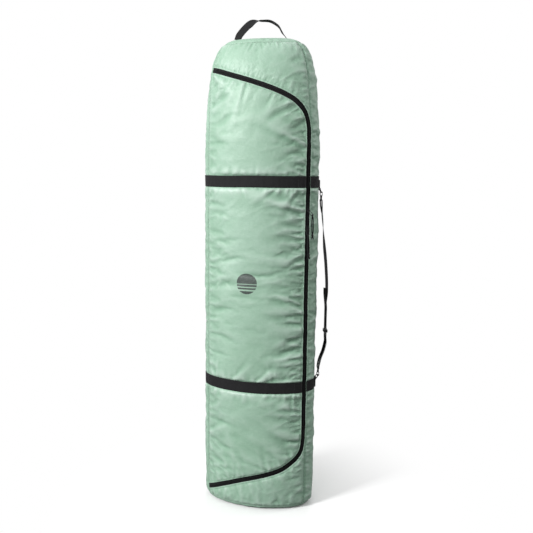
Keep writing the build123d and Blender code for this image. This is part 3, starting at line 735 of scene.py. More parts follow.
# placed folds on the front: x, z of start; x, z of end; width; height before the gain
PLACED_GAIN = 1.6
for x0, z0, x1, z1, width, height in (
        (0.060, 1.112, -0.030, 1.062, 0.011, 0.0030), (0.130, 1.105, 0.060, 1.020, 0.012, 0.0026),
        (-0.060, 0.470, 0.015, 0.530, 0.011, 0.0030), (0.020, 0.466, 0.100, 0.520, 0.010, 0.0028),
        (0.150, 0.262, 0.020, 0.318, 0.016, 0.0056), (0.110, 0.190, -0.010, 0.300, 0.015, 0.0038),
        (0.060, 0.160, -0.050, 0.215, 0.011, 0.0030), (0.160, 0.360, 0.080, 0.395, 0.010, 0.0030),
        (0.155, 1.350, 0.030, 1.290, 0.015, 0.0034), (0.120, 1.392, 0.000, 1.350, 0.012, 0.0028),
        (-0.150, 1.480, -0.060, 1.400, 0.012, 0.0024), (0.162, 0.900, 0.060, 0.870, 0.013, 0.0032),
        (0.162, 0.640, 0.050, 0.600, 0.013, 0.0030),
        (-0.165, 0.250, -0.070, 0.300, 0.012, 0.0022)):
    fold(front_uv(x0, z0), front_uv(x1, z1), width, height * PLACED_GAIN, skew=0.25, bend=0.12)

# ---------------------------------------------------------------- slack cloth between folds
# warped coordinates, so hollows and creases wander
warp_u = U + 0.020 * layered_noise(U / 0.11, V / 0.11, 41)
warp_v = V + 0.020 * layered_noise(U / 0.11, V / 0.11, 43)
# slackness: less on the left of the front and towards the top
slack = np.where(U < 0.42, 0.50 + 0.50 * smoothstep(outline_points[:, 0], -0.03, 0.11), 0.62)
slack = slack * (1 - 0.35 * smoothstep(z_of_v(V), 1.15, 1.30))
relief += slack * 0.0042 * layered_noise((warp_u + 0.45 * warp_v) / 0.150,
                                         (warp_v - 0.25 * warp_u) / 0.085, 5, octaves=2)
crest_a = 1 - np.abs(noise2((warp_u + 0.5 * warp_v) / 0.150,
                            (warp_v - 0.35 * warp_u) / 0.050, 17))
crest_b = 1 - np.abs(noise2((warp_u - 0.6 * warp_v) / 0.090,
                            (warp_v + 0.5 * warp_u) / 0.038, 23))
relief += slack * (0.0016 * (crest_a ** 4 - 0.3) + 0.0006 * (crest_b ** 4 - 0.3))
relief += slack * 0.0009 * layered_noise(U / 0.026, V / 0.020, 9)
relief += 0.00022 * noise2(U / 0.0065, V / 0.0060, 12)
# relief fades out towards everything that is sewn
freedom = ((0.34 + 0.66 * smoothstep(to_zip, ZIP_EDGE, 0.021))
           * (0.12 + 0.88 * smoothstep(to_seam, 0.0, 0.014))
           * (0.25 + 0.75 * smoothstep(to_left_seam, 0.002, 0.022))
           * smoothstep(to_belt, BELT_HALF - 0.002, BELT_HALF + 0.009)
           * (0.10 + 0.90 * smoothstep(to_rim, 0.0, 0.014)))
relief = soft_limit(relief, 0.0075, 0.0085) * freedom
# seams and rims drawn in, belts pulled tight
relief -= (0.0019 * np.exp(-(to_seam / 0.0042) ** 2)
           * (1 + 0.25 * noise2(U / 0.012, V / 0.012, 4)))
relief -= 0.0016 * np.exp(-(to_rim / 0.0045) ** 2)
relief -= 0.0012 * (1 - smoothstep(to_belt, BELT_HALF - 0.004, BELT_HALF + 0.003))
# a rolled lip and a stitched groove by the zip
relief += (0.0010 * np.exp(-((to_zip - 0.0104) / 0.0022) ** 2)
           - 0.0009 * np.exp(-((to_zip - 0.0142) / 0.0018) ** 2))

height_out = push * (0.3 + 0.7 * smoothstep(to_left_seam, 0.002, 0.020)) + relief
_limit = push_limit(FLAT)
height_out = np.where(height_out > 0,
                      np.minimum(height_out, _limit * np.tanh(height_out / _limit) * 1.08),
                      height_out)
# the cloth lies on the tape beside the zip, so it can't sink below it there
height_out = np.maximum(height_out, -0.0010 - 0.45 * np.maximum(to_zip - 0.0135, 0))
SKIN = outline_points + slide + outline_normals * height_out[:, None]
SKIN_NORMALS = vertex_normals(SKIN, TRIS)
SKIN_NORMALS = np.where((SKIN_NORMALS * outline_normals).sum(1, keepdims=True) < 0,
                        -SKIN_NORMALS, SKIN_NORMALS)
# how far a point stands above (+) or below (-) its neighbourhood; the cloth's colour turns it into
# painted shade in the hollows and painted highlight on the crests
RELIEF_SHADING = np.clip((height_out - smooth_field(height_out, TRIS, 22, 0.8)) / 0.0026, -1, 1)
SKIN_TREE = BVHTree.FromPolygons([Vector(v) for v in SKIN], [tuple(map(int, t)) for t in TRIS])


# ---------------------------------------------------------------- material nodes
def srgb(r, g, b):
    """Linear colour from sRGB values of 0 to 255."""
    values = [c / 255 for c in (r, g, b)]
    return (*[c / 12.92 if c <= 0.04045 else ((c + 0.055) / 1.055) ** 2.4 for c in values], 1.0)


def add_node(tree, kind, inputs=None, **settings):
    """A shader node; an input may be a value or another node's output."""
    node = tree.nodes.new("ShaderNode" + kind)
    for key, value in settings.items():
        setattr(node, key, value)
    for socket, value in (inputs or {}).items():
        if isinstance(value, bpy.types.NodeSocket):
            tree.links.new(value, node.inputs[socket])
        else:
            node.inputs[socket].default_value = value
    return node


class Material:
    """A node material put together in a few lines."""

    def __init__(self, name, rough, spec, metal=0.0, sheen=0.0, sheen_rough=0.5):
        self.data = bpy.data.materials.new(name)
        self.data.use_nodes = True
        self.tree = self.data.node_tree
        self.tree.nodes.clear()
        self.output = self.add("OutputMaterial")
        self.shader = self.add("BsdfPrincipled", {
            "Roughness": rough, "Metallic": metal, "Specular IOR Level": spec,
            "Sheen Weight": sheen, "Sheen Roughness": sheen_rough})
        self.link(self.shader.outputs[0], self.output.inputs[0])
        self.normal = None

    def add(self, kind, inputs=None, **settings):
        return add_node(self.tree, kind, inputs, **settings)

    def link(self, source, target):
        self.tree.links.new(source, target)

    def math(self, operation, a, b=0.0):
        return self.add("Math", {0: a, 1: b}, operation=operation).outputs[0]

    def mul(self, a, b):
        return self.math("MULTIPLY", a, b)

    def above(self, a, b):
        """1 where a is greater than b."""
        return self.math("GREATER_THAN", a, b)

    def coord(self, kind="Object"):
        return self.add("TexCoord").outputs[kind]

    def noise(self, vector, scale, detail=3.0, rough=0.55, distortion=0.0):
        return self.add("TexNoise", {
            "Vector": vector, "Scale": scale, "Detail": detail, "Roughness": rough,
            "Distortion": distortion}).outputs["Fac"]

    def wave(self, vector, scale, axis, distortion=0.0, detail_scale=1.0):
        return self.add("TexWave", {
            "Vector": vector, "Scale": scale, "Distortion": distortion,
            "Detail Scale": detail_scale}, wave_type="BANDS", bands_direction=axis).outputs["Fac"]

    def weave(self, uv, scale):
        return self.mul(self.wave(uv, scale, "X"), self.wave(uv, scale, "Y"))

    def ramp(self, factor, *stops):
        node = self.add("ValToRGB", {0: factor})
        elements = node.color_ramp.elements
        while len(elements) < len(stops):
            elements.new(0.5)
        for element, (position, color) in zip(elements, stops):
            element.position = position
            element.color = color
        return node.outputs[0]

    def mix(self, factor, a, b):
        return self.add("Mix", {0: factor, 6: a, 7: b}, data_type="RGBA",
                        blend_type="MIX").outputs[2]

    def lerp(self, factor, low, high):
        return self.add("MapRange", {0: factor, 3: low, 4: high}).outputs[0]

    def separate(self, vector):
        return self.add("SeparateXYZ", {0: vector}).outputs

    def bump(self, height, strength, distance):
        """Adds a bump on top of those before it."""
        inputs = {"Strength": strength, "Distance": distance, "Height": height}
        if self.normal is not None:
            inputs["Normal"] = self.normal
        self.normal = self.add("Bump", inputs).outputs[0]
        self.link(self.normal, self.shader.inputs["Normal"])

    def color(self, socket):
        self.link(socket, self.shader.inputs["Base Color"])

    def roughness(self, socket):
        self.link(socket, self.shader.inputs["Roughness"])


# ---------------------------------------------------------------- materials
PRINT_UV = tuple(map(float, front_uv(-0.022, 0.800)))
PRINT_RADIUS = 0.0350
# each slit's distance below the print's centre, and its half height
PRINT_SLITS = ((0.0020, 0.0011), (0.0120, 0.0018), (0.0222, 0.0026))


def add_print(mat, obj, uv, cloth):
    """A plain disc cut by three level slits, in worn ink, over the cloth's colour."""
    axes = mat.separate(uv)
    du = mat.math("SUBTRACT", axes[0], PRINT_UV[0])
    dv = mat.math("SUBTRACT", axes[1], PRINT_UV[1])
    r = mat.math("SQRT", mat.math("ADD", mat.mul(du, du), mat.mul(dv, dv)))
    ink = mat.math("LESS_THAN", r, PRINT_RADIUS)
    for drop, half in PRINT_SLITS:
        off_slit = mat.math("ABSOLUTE", mat.math("ADD", dv, drop))
        ink = mat.mul(ink, mat.above(off_slit, half))
    worn = mat.above(mat.noise(obj, scale=900, detail=2, rough=0.7), 0.34)
    ink = mat.mul(mat.mul(ink, worn), 0.93)
    shade = mat.lerp(mat.noise(obj, scale=30, detail=3), 0.0, 1.0)
    return mat.mix(ink, cloth, mat.mix(shade, srgb(36, 39, 39), srgb(78, 82, 82)))


def shell_cloth(name, printed=False):
    """Green cloth: blotches, painted shade in the hollows, painted highlight on the crests, specks
    and a fine weave.
    """
    mat = Material(name, rough=0.45, spec=0.55, sheen=0.34, sheen_rough=0.35)
    obj, uv = mat.coord("Object"), mat.coord("UV")
    blotch = mat.noise(obj, scale=5.5, detail=4, rough=0.6)
    mottle = mat.noise(obj, scale=38, detail=4, rough=0.6, distortion=0.4)
    speck = mat.noise(obj, scale=420, detail=3, rough=0.6)
    color = mat.ramp(blotch, (0.25, srgb(139, 173, 150)), (0.55, srgb(151, 182, 162)),
                     (0.8, srgb(161, 189, 172)))
    color = mat.mix(mat.lerp(mottle, 0.0, 0.42), color, srgb(128, 166, 139))
    cavity = mat.add("Attribute", attribute_name="cavity").outputs["Fac"]
    # painted shade: the colour darkens where the cloth lies lower than its neighbourhood
    hollow_shade = mat.math("MAXIMUM", mat.mul(cavity, -1.0), 0.0)
    color = mat.mix(mat.mul(hollow_shade, 0.42), color, srgb(84, 134, 101))
    # painted highlight: the colour pales where the cloth stands higher than its neighbourhood
    crest_highlight = mat.math("MAXIMUM", cavity, 0.0)
    color = mat.mix(mat.mul(crest_highlight, 0.50), color, srgb(200, 216, 207))
    color = mat.mix(mat.mul(mat.above(speck, 0.58), 0.12), color, srgb(108, 150, 126))
    weave = mat.weave(uv, scale=190)
    color = mat.mix(mat.mul(weave, 0.16), color, srgb(178, 205, 190))
    if printed:
        color = add_print(mat, obj, uv, color)
    mat.color(color)
    mat.roughness(mat.lerp(mat.noise(obj, scale=60, detail=4, rough=0.6), 0.40, 0.56))
    wrinkle = mat.noise(obj, scale=95, detail=5, rough=0.62, distortion=0.3)
    mat.bump(wrinkle, strength=0.34, distance=0.0026)
    mat.bump(mat.noise(obj, scale=330, detail=3, rough=0.6), strength=0.25, distance=0.0006)
    mat.bump(weave, strength=0.35, distance=0.00025)
    return mat.data


def webbing(name, dark, light, pitch):
    """Black webbing; pitch is the scale of its ribs."""
    mat = Material(name, rough=0.72, spec=0.22, sheen=0.06, sheen_rough=0.4)
    obj, uv = mat.coord("Object"), mat.coord("UV")
    rib = mat.wave(uv, pitch, "Y", distortion=0.4, detail_scale=2.0)
    cross = mat.wave(uv, 260, "X", distortion=0.6, detail_scale=2.0)
    pattern = mat.mul(*[mat.math("ADD", mat.mul(w, 0.6), 0.4) for w in (rib, cross)])
    color = mat.mix(mat.noise(obj, scale=40, detail=4, rough=0.65), dark, light)
    color = mat.mix(mat.mul(pattern, 0.45), color, light)
    fluff = mat.above(mat.noise(obj, scale=700, detail=2, rough=0.7), 0.62)
    mat.color(mat.mix(mat.mul(fluff, 0.3), color, srgb(60, 60, 61)))
    mat.roughness(mat.lerp(mat.noise(obj, scale=160), 0.60, 0.85))
    mat.bump(pattern, strength=0.7, distance=0.0006)
    mat.bump(mat.noise(obj, scale=500, detail=3), strength=0.3, distance=0.0005)
    return mat.data


def speckled(name, dark, light, grain, bumps, rough_grain=None, rough_range=None, chips=None,
             **shader):
    """Two shades mixed by noise; bumps are (noise, strength, distance)."""
    mat = Material(name, **shader)
    obj = mat.coord()
    color = mat.mix(mat.noise(obj, **grain), dark, light)
    if chips:
        chipped = mat.above(mat.noise(obj, scale=900, detail=4, rough=0.75), 0.70)
        color = mat.mix(mat.mul(chipped, 0.7), color, chips)
    mat.color(color)
    if rough_grain:
        mat.roughness(mat.lerp(mat.noise(obj, **rough_grain), *rough_range))
    for bump_grain, strength, distance in bumps:
        mat.bump(mat.noise(obj, **bump_grain), strength, distance)
    return mat


def lining():
    mat = speckled("lining_coated", srgb(92, 98, 96), srgb(118, 124, 121),
                   grain=dict(scale=14, detail=4),
                   rough_grain=dict(scale=50), rough_range=(0.38, 0.60),
                   bumps=[(dict(scale=70, detail=4), 0.3, 0.002)],
                   rough=0.45, spec=0.4, sheen=0.1)
    mat.bump(mat.weave(mat.coord("UV"), scale=60), strength=0.4, distance=0.0004)
    return mat.data


def painted_metal():
    mat = speckled("painted_metal_black", srgb(20, 20, 21), srgb(36, 36, 38),
                   grain=dict(scale=120), chips=srgb(96, 96, 98),
                   rough_grain=dict(scale=260, detail=4), rough_range=(0.38, 0.62),
                   bumps=[(dict(scale=1800, detail=3), 0.25, 0.0001)], rough=0.45, spec=0.25)
    streaks = mat.wave(mat.coord("Generated"), 30, "DIAGONAL", distortion=9, detail_scale=4)
    mat.bump(streaks, strength=0.06, distance=0.0001)
    return mat.data


def thread(name, dark, light, rough):
    return speckled(name, dark, light, grain=dict(scale=900, detail=2),
                    bumps=[(dict(scale=4000, detail=2), 0.4, 0.0001)],
                    rough=rough, spec=0.4, sheen=0.2).data


M_CLOTH = shell_cloth("shell_cloth_green")
M_FLAP = shell_cloth("shell_cloth_print", printed=True)
M_LINING = lining()
M_WEB = webbing("webbing_black", srgb(17, 17, 18), srgb(33, 33, 34), pitch=110)
M_STRAP = webbing("webbing_strap", srgb(16, 16, 17), srgb(31, 31, 33), pitch=150)
M_TAPE = webbing("zip_tape_weave", srgb(14, 14, 15), srgb(26, 26, 27), pitch=320)
M_COIL = speckled("zip_coil_nylon", srgb(13, 13, 14), srgb(26, 26, 27),
                  grain=dict(scale=220),
                  rough_grain=dict(scale=300), rough_range=(0.42, 0.62),
                  bumps=[(dict(scale=1500, detail=2), 0.3, 0.0001)],
                  rough=0.5, spec=0.22).data
M_METAL = painted_metal()
M_HARDWARE = speckled("hardware_gunmetal", srgb(36, 36, 38), srgb(64, 64, 67),
                      grain=dict(scale=160, detail=4),
                      rough_grain=dict(scale=420, detail=4, rough=0.7), rough_range=(0.24, 0.52),
                      bumps=[(dict(scale=2200, detail=3), 0.25, 0.0001)],
                      rough=0.34, metal=0.75, spec=0.5).data
M_PLASTIC = speckled("moulded_plastic_black", srgb(17, 17, 18), srgb(31, 31, 32),
                     grain=dict(scale=90, detail=4),
                     rough_grain=dict(scale=340, detail=4, rough=0.7), rough_range=(0.36, 0.60),
                     bumps=[(dict(scale=2600, detail=3, rough=0.7), 0.45, 0.00012),
                            (dict(scale=300, detail=3), 0.12, 0.0003)],
                     rough=0.45, spec=0.45).data
M_CORD = speckled("cord_braid", srgb(11, 11, 12), srgb(30, 30, 31),
                  grain=dict(scale=700, detail=2),
                  bumps=[(dict(scale=2500, detail=2), 0.5, 0.0002)],
                  rough=0.7, spec=0.2, sheen=0.04).data
M_THREAD = thread("thread_green", srgb(112, 146, 126), srgb(142, 174, 156), rough=0.6)
M_THREAD_BLACK = thread("thread_black", srgb(40, 40, 41), srgb(68, 68, 70), rough=0.55)
# pale grey for the strips on the strap's edges: a painted highlight on the black webbing
M_STRAP_EDGE_HIGHLIGHT = speckled("reflective_weave", srgb(150, 152, 152), srgb(196, 198, 198),
                     grain=dict(scale=500, detail=3),
                     bumps=[(dict(scale=1600, detail=3), 0.4, 0.0003)],
                     rough=0.35, spec=0.7).data


# ---------------------------------------------------------------- cords and stitches
def tube_mesh(points, radius, sides):
    """A round cord; radius is one number or an array of (points, sides)."""
    p = np.asarray(points, float)
    t = unit(np.gradient(p, axis=0))
    up = np.array([0.0, 0, 1]) if abs(t[0, 2]) < 0.9 else np.array([1.0, 0, 0])
    n = unit(np.cross(t[0], up))
    normals = [n]
    for k in range(1, len(p)):
        n = unit(n - t[k] * (n @ t[k]))
        normals.append(n)
    normals = np.array(normals)
    sideways = np.cross(t, normals)
    a = np.arange(sides) / sides * TAU
    r = np.broadcast_to(radius, (len(p), sides))[..., None]
    v = p[:, None] + r * (np.cos(a)[None, :, None] * normals[:, None]
                          + np.sin(a)[None, :, None] * sideways[:, None])
    return v.reshape(-1, 3), ring_faces(len(p), sides)


def on_skin(u, v):
    """Point of the finished cloth above (u, v), its normal, and the u and v directions."""
    p = surface(u, v)
    du, dv, n = tangents(u, v)
    hit, hit_normal = SKIN_TREE.ray_cast(Vector(p + n * 0.03), Vector(-n), 0.08)[:2]
    if hit is None:    # the ray may slip past the skin at an open edge
        return p, n, du, dv
    hit_normal = np.array(hit_normal)
    if hit_normal @ n < 0:
        hit_normal = -hit_normal
    return np.array(hit), hit_normal, du, dv


# rings of a stitch: place along it, height in radii, share of the radius
STITCH_RINGS = ((-0.5, -0.8, 0.6), (-0.22, 0.25, 1.0), (0.22, 0.25, 1.0), (0.5, -0.8, 0.6))


def stitch(point, along, normal, length, radius=0.0003, sides=5):
    """A little capsule lying on the surface, its ends going in."""
    along = unit(along)
    across = np.cross(normal, along)
    angles = np.arange(sides) / sides * TAU
    verts = []
    for place, height, share in STITCH_RINGS:
        centre = point + along * (place * length) + normal * (height * radius)
        verts += [centre + radius * share * (math.cos(a) * across + math.sin(a) * normal)
                  for a in angles]
    return np.array(verts), ring_faces(len(STITCH_RINGS), sides)


def stitch_row(line, pitch=0.0036, length=0.0026, radius=0.00034):
    """Stitches along a (u, v) line on the cloth."""
    line = resample(line, 0.002)
    run = path_length(surface(line[:, 0], line[:, 1]))
    parts = []
    x = pitch
    while x < run[-1] - pitch:
        u, v = interp_points(x, run, line)
        next_u, next_v = interp_points(x + 0.001, run, line)
        p, n, du, dv = on_skin(u, v)
        along = du * (next_u - u) + dv * (next_v - v)
        along = along - n * (along @ n)
        parts.append(stitch(p + n * (radius * 0.3), along, n, length, radius))
        x += pitch
    return parts


# ---------------------------------------------------------------- panels of the shell
def edge_roll(edge, radius=0.0011):
    """The turned edge of the cloth beside the zip."""
    line = resample(edge, 0.0035)
    line = line[line[:, 0] > seam_u(SEAM_LEFT, line[:, 1]) + 0.001]
    points = np.array([on_skin(u, v)[0] for u, v in line])
    normals = tangents(line[:, 0], line[:, 1])[2]
    return tube_mesh(points - normals * (radius * 0.55), radius, 8)


def thicken(points, normals, faces):
    """Gives a sheet its thickness: outer faces, then inner faces, then quads round the rim."""
    k = len(points)
    edges = tri_edges(faces)
    _, first, count = np.unique(np.sort(edges, 1), axis=0, return_index=True, return_counts=True)
    rim = edges[first[count == 1]]
    quads = np.stack([rim[:, 1], rim[:, 0], rim[:, 0] + k, rim[:, 1] + k], 1)
    both = [tuple(t) for block in (faces, faces[:, ::-1] + k, quads) for t in block.tolist()]
    return np.vstack([points, points - normals * CLOTH_THICK]), both


def cloth_object(name, verts, faces, uv, slots, cavity, outer=M_CLOTH):
    obj = mesh_object(name, verts, faces, uv, slots, (outer, M_LINING))
    # per-vertex value that drives the painted shade and painted highlight in the cloth's colour
    attribute = obj.data.attributes.new("cavity", "FLOAT", "POINT")
    attribute.data.foreach_set("value", cavity.astype(np.float32))
    return obj


def panel(name, mask, group="shell", outer=M_CLOTH, roll=None):
    """Cuts a panel out of the skin; roll is the line of its turned zip edge."""
    used, tris_used = compact(TRIS[mask])
    verts, faces = thicken(SKIN[used], SKIN_NORMALS[used], tris_used)
    uv = np.vstack([FLAT[used], FLAT[used]])
    cavity = np.tile(RELIEF_SHADING[used], 2)
    slots = [0] * len(tris_used) + [1] * (len(faces) - len(tris_used))
    if roll is not None:
        v, f = edge_roll(roll)
        faces = faces + [tuple(x + len(verts) for x in t) for t in f]
        slots += [0] * len(f)
        verts = np.vstack([verts, v])
        # the turned edge takes a fixed crest value: a painted highlight along the zip's edge
        cavity = np.concatenate([cavity, np.full(len(v), 0.35)])
        uv = np.vstack([uv, plain_uv(v)])
    obj = cloth_object(name, verts, faces, uv, slots, cavity, outer)
    if roll is not None:
        face_outward(obj)
    register(obj, group)


def closed_polygon(edge):
    return np.vstack([edge[::2], [[-0.3, edge[-1, 1]], [-0.3, edge[0, 1]]]])


_centre = FLAT[TRIS].mean(1)
_u, _v = _centre[:, 0], _centre[:, 1]
_z = z_of_v(_v)
_in_zip = inside(closed_polygon(BODY_EDGE), _centre)
is_flap = inside(closed_polygon(FLAP_EDGE), _centre)
_right_u = np.where((_z > RIGHT_SEAM_HIGH) | (_z < RIGHT_SEAM_LOW), seam_u(SEAM_RIGHT, _v), -9)
is_front = ~_in_zip & (_u < _right_u)
is_gap = _in_zip & ~is_flap & (_u < 0.6)
is_right = ~is_flap & ~is_gap & ~is_front & (_u < seam_u(SEAM_BACK_RIGHT, _v))
is_back = (_u >= seam_u(SEAM_BACK_RIGHT, _v)) & (_u < seam_u(SEAM_BACK_LEFT, _v))
is_left = _u >= seam_u(SEAM_BACK_LEFT, _v)

ROLL_AT = ZIP_EDGE + 0.0006
body_roll = zip_offset(ROLL_AT)
panel("vis_front_flap", is_flap, "flap", M_FLAP, roll=zip_offset(-ROLL_AT))
panel("vis_front_top_panel", is_front & (_z > 0.75),
      roll=between(body_roll, low=RIGHT_SEAM_HIGH))
panel("vis_front_bottom_panel", is_front & (_z < 0.75),
      roll=between(body_roll, high=RIGHT_SEAM_LOW))
panel("vis_right_gusset", is_right,
      roll=between(body_roll, RIGHT_SEAM_LOW - 0.004, RIGHT_SEAM_HIGH + 0.004))
panel("vis_back_panel", is_back)
panel("vis_left_gusset", is_left)


def cap(name, top):
    """Top or bottom panel: from the rim seam over the rounded edge to the flat middle."""
    sides = 260
    u = np.arange(sides) / sides * PERIMETER
    v_end = float(v_of_z(TOTAL_HEIGHT))
    rim, end = (V_TOP, v_end) if top else (V_BASE, 0.0)
    rows = []
    for k in np.linspace(0, 1, 9):
        v = rim + (end - rim) * k
        p = surface(u, np.full(sides, v))
        if k < 0.95:
            n = tangents(u, np.full(sides, np.clip(v, 0.0005, v_end - 0.0005)))[2]
            groove = -0.0016 * math.exp(-(k * abs(end - rim) / 0.0045) ** 2)
            ripple = noise2(u / 0.024, v / 0.03, 8) * 0.0012 * min(1, k * 3)
            p = p + n * (groove + ripple)[:, None]
        rows.append(p)
    last = rows[-1]
    level = last[:, 2].mean()
    centre = np.array([0, 0, level])
    for k in np.linspace(0, 1, 15)[1:-1]:
        p = centre + (last - centre) * (1 - k)
        dents = (layered_noise(p[:, 0] / 0.045, p[:, 1] / 0.03, 3) - 0.6) * 0.0011
        fade = min(1, 5 * k)
        if top:
            p[:, 2] = level + (0.0004 * (1 - (1 - k) ** 2) + dents * fade)
        else:
            p[:, 2] = level + (0.0009 * (1 - np.cos(k * 6)) * 0.5 + abs(dents) * 0.4 * fade)
        rows.append(p)
    faces = []
    for i in range(len(rows) - 1):
        for j in range(sides):
            k = (j + 1) % sides
            a, b = i * sides, (i + 1) * sides
            faces += [(a + j, a + k, b + k), (a + j, b + k, b + j)]
    middle = len(rows) * sides
    inner = middle - sides
    faces += [(inner + j, inner + (j + 1) % sides, middle) for j in range(sides)]
    faces = np.array(faces)
    points = np.vstack(rows + [[[0, 0, rows[-1][:, 2].mean()]]])
    if (vertex_normals(points, faces)[middle, 2] < 0) == top:
        faces = faces[:, ::-1]
    points, faces, _ = subdivide(points, faces)
    verts, both = thicken(points, vertex_normals(points, faces), faces)
    count = len(faces)
    slots = [0] * count + [1] * count + [0] * (len(both) - 2 * count)
    uv = np.vstack([points[:, :2], points[:, :2]])
    register(cloth_object(name, verts, both, uv, slots, np.zeros(len(verts))),
             "shell")


cap("vis_top_panel", True)
cap("vis_bottom_panel", False)


# ---------------------------------------------------------------- the zip
def zip_tape(from_width, to_width, depth=0.0026, thick=0.0007, cols=9):
    """Woven tape under the cloth's edges, following the zip."""
    k = np.arange(0, len(ZIP_RUN), 2)
    k = k[ZIP_U[k] > seam_u(SEAM_LEFT, ZIP_V[k]) + 0.0015]
    ws = np.linspace(from_width, to_width, cols)
    normals = ZIP_NORMAL[k][:, None]
    top = ZIP_CENTRE[k][:, None] + ZIP_SIDE[k][:, None] * ws[None, :, None] - normals * depth
    # the tape follows the curve of the bag away from the centre line
    top -= normals * (0.5 * ws[None, :, None] ** 2 / 0.085)
    low = top - normals * thick
    rows = len(k)
    off = rows * cols
    faces = []
    for i in range(rows - 1):
        for j in range(cols - 1):
            a, b = i * cols + j, i * cols + j + 1
            c, d = b + cols, a + cols
            faces += [(a, d, c, b), (a + off, b + off, c + off, d + off)]
        a, b = i * cols, (i + 1) * cols
        faces.append((a, a + off, b + off, b))
        a, b = a + cols - 1, b + cols - 1
        faces.append((a, b, b + off, a + off))
    for a in range(cols - 1):
        faces.append((a, a + 1, a + 1 + off, a + off))
    for a in range(off - cols, off - 1):
        faces.append((a, a + off, a + 1 + off, a + 1))
    uv = np.stack([np.repeat(ZIP_RUN[k], cols), np.tile(ws, rows)], 1)
    return np.vstack([top.reshape(-1, 3), low.reshape(-1, 3)]), faces, np.vstack([uv, uv])


def zip_teeth(side, pitch=0.0017, height=-0.0013, sides=6):
    """One row of small loops across the zip's middle; the rows are half a pitch apart."""
    start, end = (-0.0006, 0.0031) if side > 0 else (0.0006, -0.0031)
    # width, height and radius at each ring of a tooth
    rings = ((start, height - 0.0003, 0.00045),
             (start + (end - start) * 0.12, height + 0.0002, 0.00068),
             (start + (end - start) * 0.8, height + 0.0002, 0.00062),
             (end, height - 0.0005, 0.00045))
    faces = ring_faces(len(rings), sides)
    if side < 0:
        faces = [t[::-1] for t in faces]
    index = np.arange(len(ZIP_RUN))
    parts = []
    x = 0.004 + (0.0 if side > 0 else pitch / 2)
    while x < ZIP_RUN[-1] - 0.003:
        k = np.interp(x, ZIP_RUN, index)
        i = int(k)
        t = k - i
        if ZIP_U[i] > seam_u(SEAM_LEFT, ZIP_V[i]) + 0.003:
            centre = ZIP_CENTRE[i] * (1 - t) + ZIP_CENTRE[min(i + 1, len(ZIP_RUN) - 1)] * t
            normal, along = ZIP_NORMAL[i], ZIP_ALONG[i]
            verts = []
            for q, (w, h, r) in enumerate(rings):
                c = centre + ZIP_SIDE[i] * w + normal * h + along * (0.0003 * q)
                for a in range(sides):
                    angle = a / sides * TAU
                    verts.append(c + r * (math.cos(angle) * along + math.sin(angle) * normal))
            parts.append((np.array(verts), faces))
        x += pitch
    return parts


for name, group, material, slot, parts in (
        ("vis_zip_tape_body", "shell", M_TAPE, "webbing", [zip_tape(0.0002, 0.0120)]),
        ("vis_zip_tape_flap", "flap", M_TAPE, "webbing", [zip_tape(-0.0120, -0.0002)]),
        ("vis_zip_chain_body", "shell", M_COIL, "black_plastic", zip_teeth(1)),
        ("vis_zip_chain_flap", "flap", M_COIL, "black_plastic", zip_teeth(-1))):
    register(join_parts(name, [material], {0: parts}), group)


# ---------------------------------------------------------------- webbing
def web_section(width, thick, cols=17, rib=0.00018):
    """Closed outline of a band of webbing: ribs on both faces, thicker near the edges."""
    x = np.linspace(-0.5, 0.5, cols)
    y = (thick / 2 + np.where(np.arange(cols) % 2 == 1, rib, 0.0)
         + np.where(np.abs(x) > 0.44, 0.00012, 0.0))
    y[[0, -1]] *= 0.35
    return np.vstack([np.stack([x * width, y], 1), np.stack([x[::-1] * width, -y[::-1]], 1)])


def sweep(centres, across, normals, section, scale=None):
    """Band through centres with the section's x along across and its y along normals."""
    rings, sides = len(centres), len(section)
    scale = np.ones(rings) if scale is None else scale
    v = (centres[:, None] + across[:, None] * (section[None, :, 0] * scale[:, None])[..., None]
         + normals[:, None] * section[None, :, 1, None]).reshape(-1, 3)
    faces = ring_faces(rings, sides)
    # faces must look outwards
    a, b, c = (v[k] for k in faces[0][:3])
    if np.cross(b - a, c - a) @ ((a + b) / 2 - v[:sides].mean(0)) < 0:
        faces = [t[::-1] for t in faces]
    run = path_length(centres)
    return v, faces, np.stack([np.repeat(run, sides), np.tile(section[:, 0], rings)], 1)


def turn(across, normals, degrees):
    """Turns a band about its own length."""
    a = np.radians(degrees)[:, None]
    return (across * np.cos(a) + normals * np.sin(a), normals * np.cos(a) - across * np.sin(a))


def belt_band(z, u0, u1, seed):
    """A belt lying on the cinched cloth from u0 to u1."""
    u = np.append(np.arange(u0, u1, 0.0032), u1)
    v = np.full(len(u), float(v_of_z(z)))
    n = tangents(u, v)[2]
    lift = 0.00085 + (0.00035 * noise2(u / 0.02, seed, 2) + 0.0002 * noise2(u / 0.007, seed, 6))
    tilt = 0.0006 * noise2(u / 0.05, seed + 3, 11)
    sag = np.stack([0 * u, 0 * u, 0.0010 * noise2(u / 0.09, seed, 21)], 1)
    centres = surface(u, v) + n * lift[:, None] + sag
    up = np.tile([0.0, 0, 1], (len(u), 1)) + n * (tilt / BELT_HALF)[:, None]
    return sweep(centres, up, n, web_section(2 * BELT_HALF, 0.0013, 25))


def belt_box(z, u0, u1, half=0.0165, pitch=0.003):
    """Rectangle of stitches on a belt."""
    def sew(u, height, upright):
        v = float(v_of_z(height))
        du, dv, n = tangents(u, v)
        return stitch(surface(u, v) + n * 0.0019, dv if upright else du, n, 0.0022)

    count = int((u1 - u0) / pitch)
    parts = [sew(u0 + (k + 0.5) * (u1 - u0) / count, z + side, False)
             for side in (-half, half) for k in range(count)]
    count = int(2 * half / pitch)
    return parts + [sew(u, z - half + (k + 0.5) * 2 * half / count, True)
                    for u in (u0, u1) for k in range(count)]


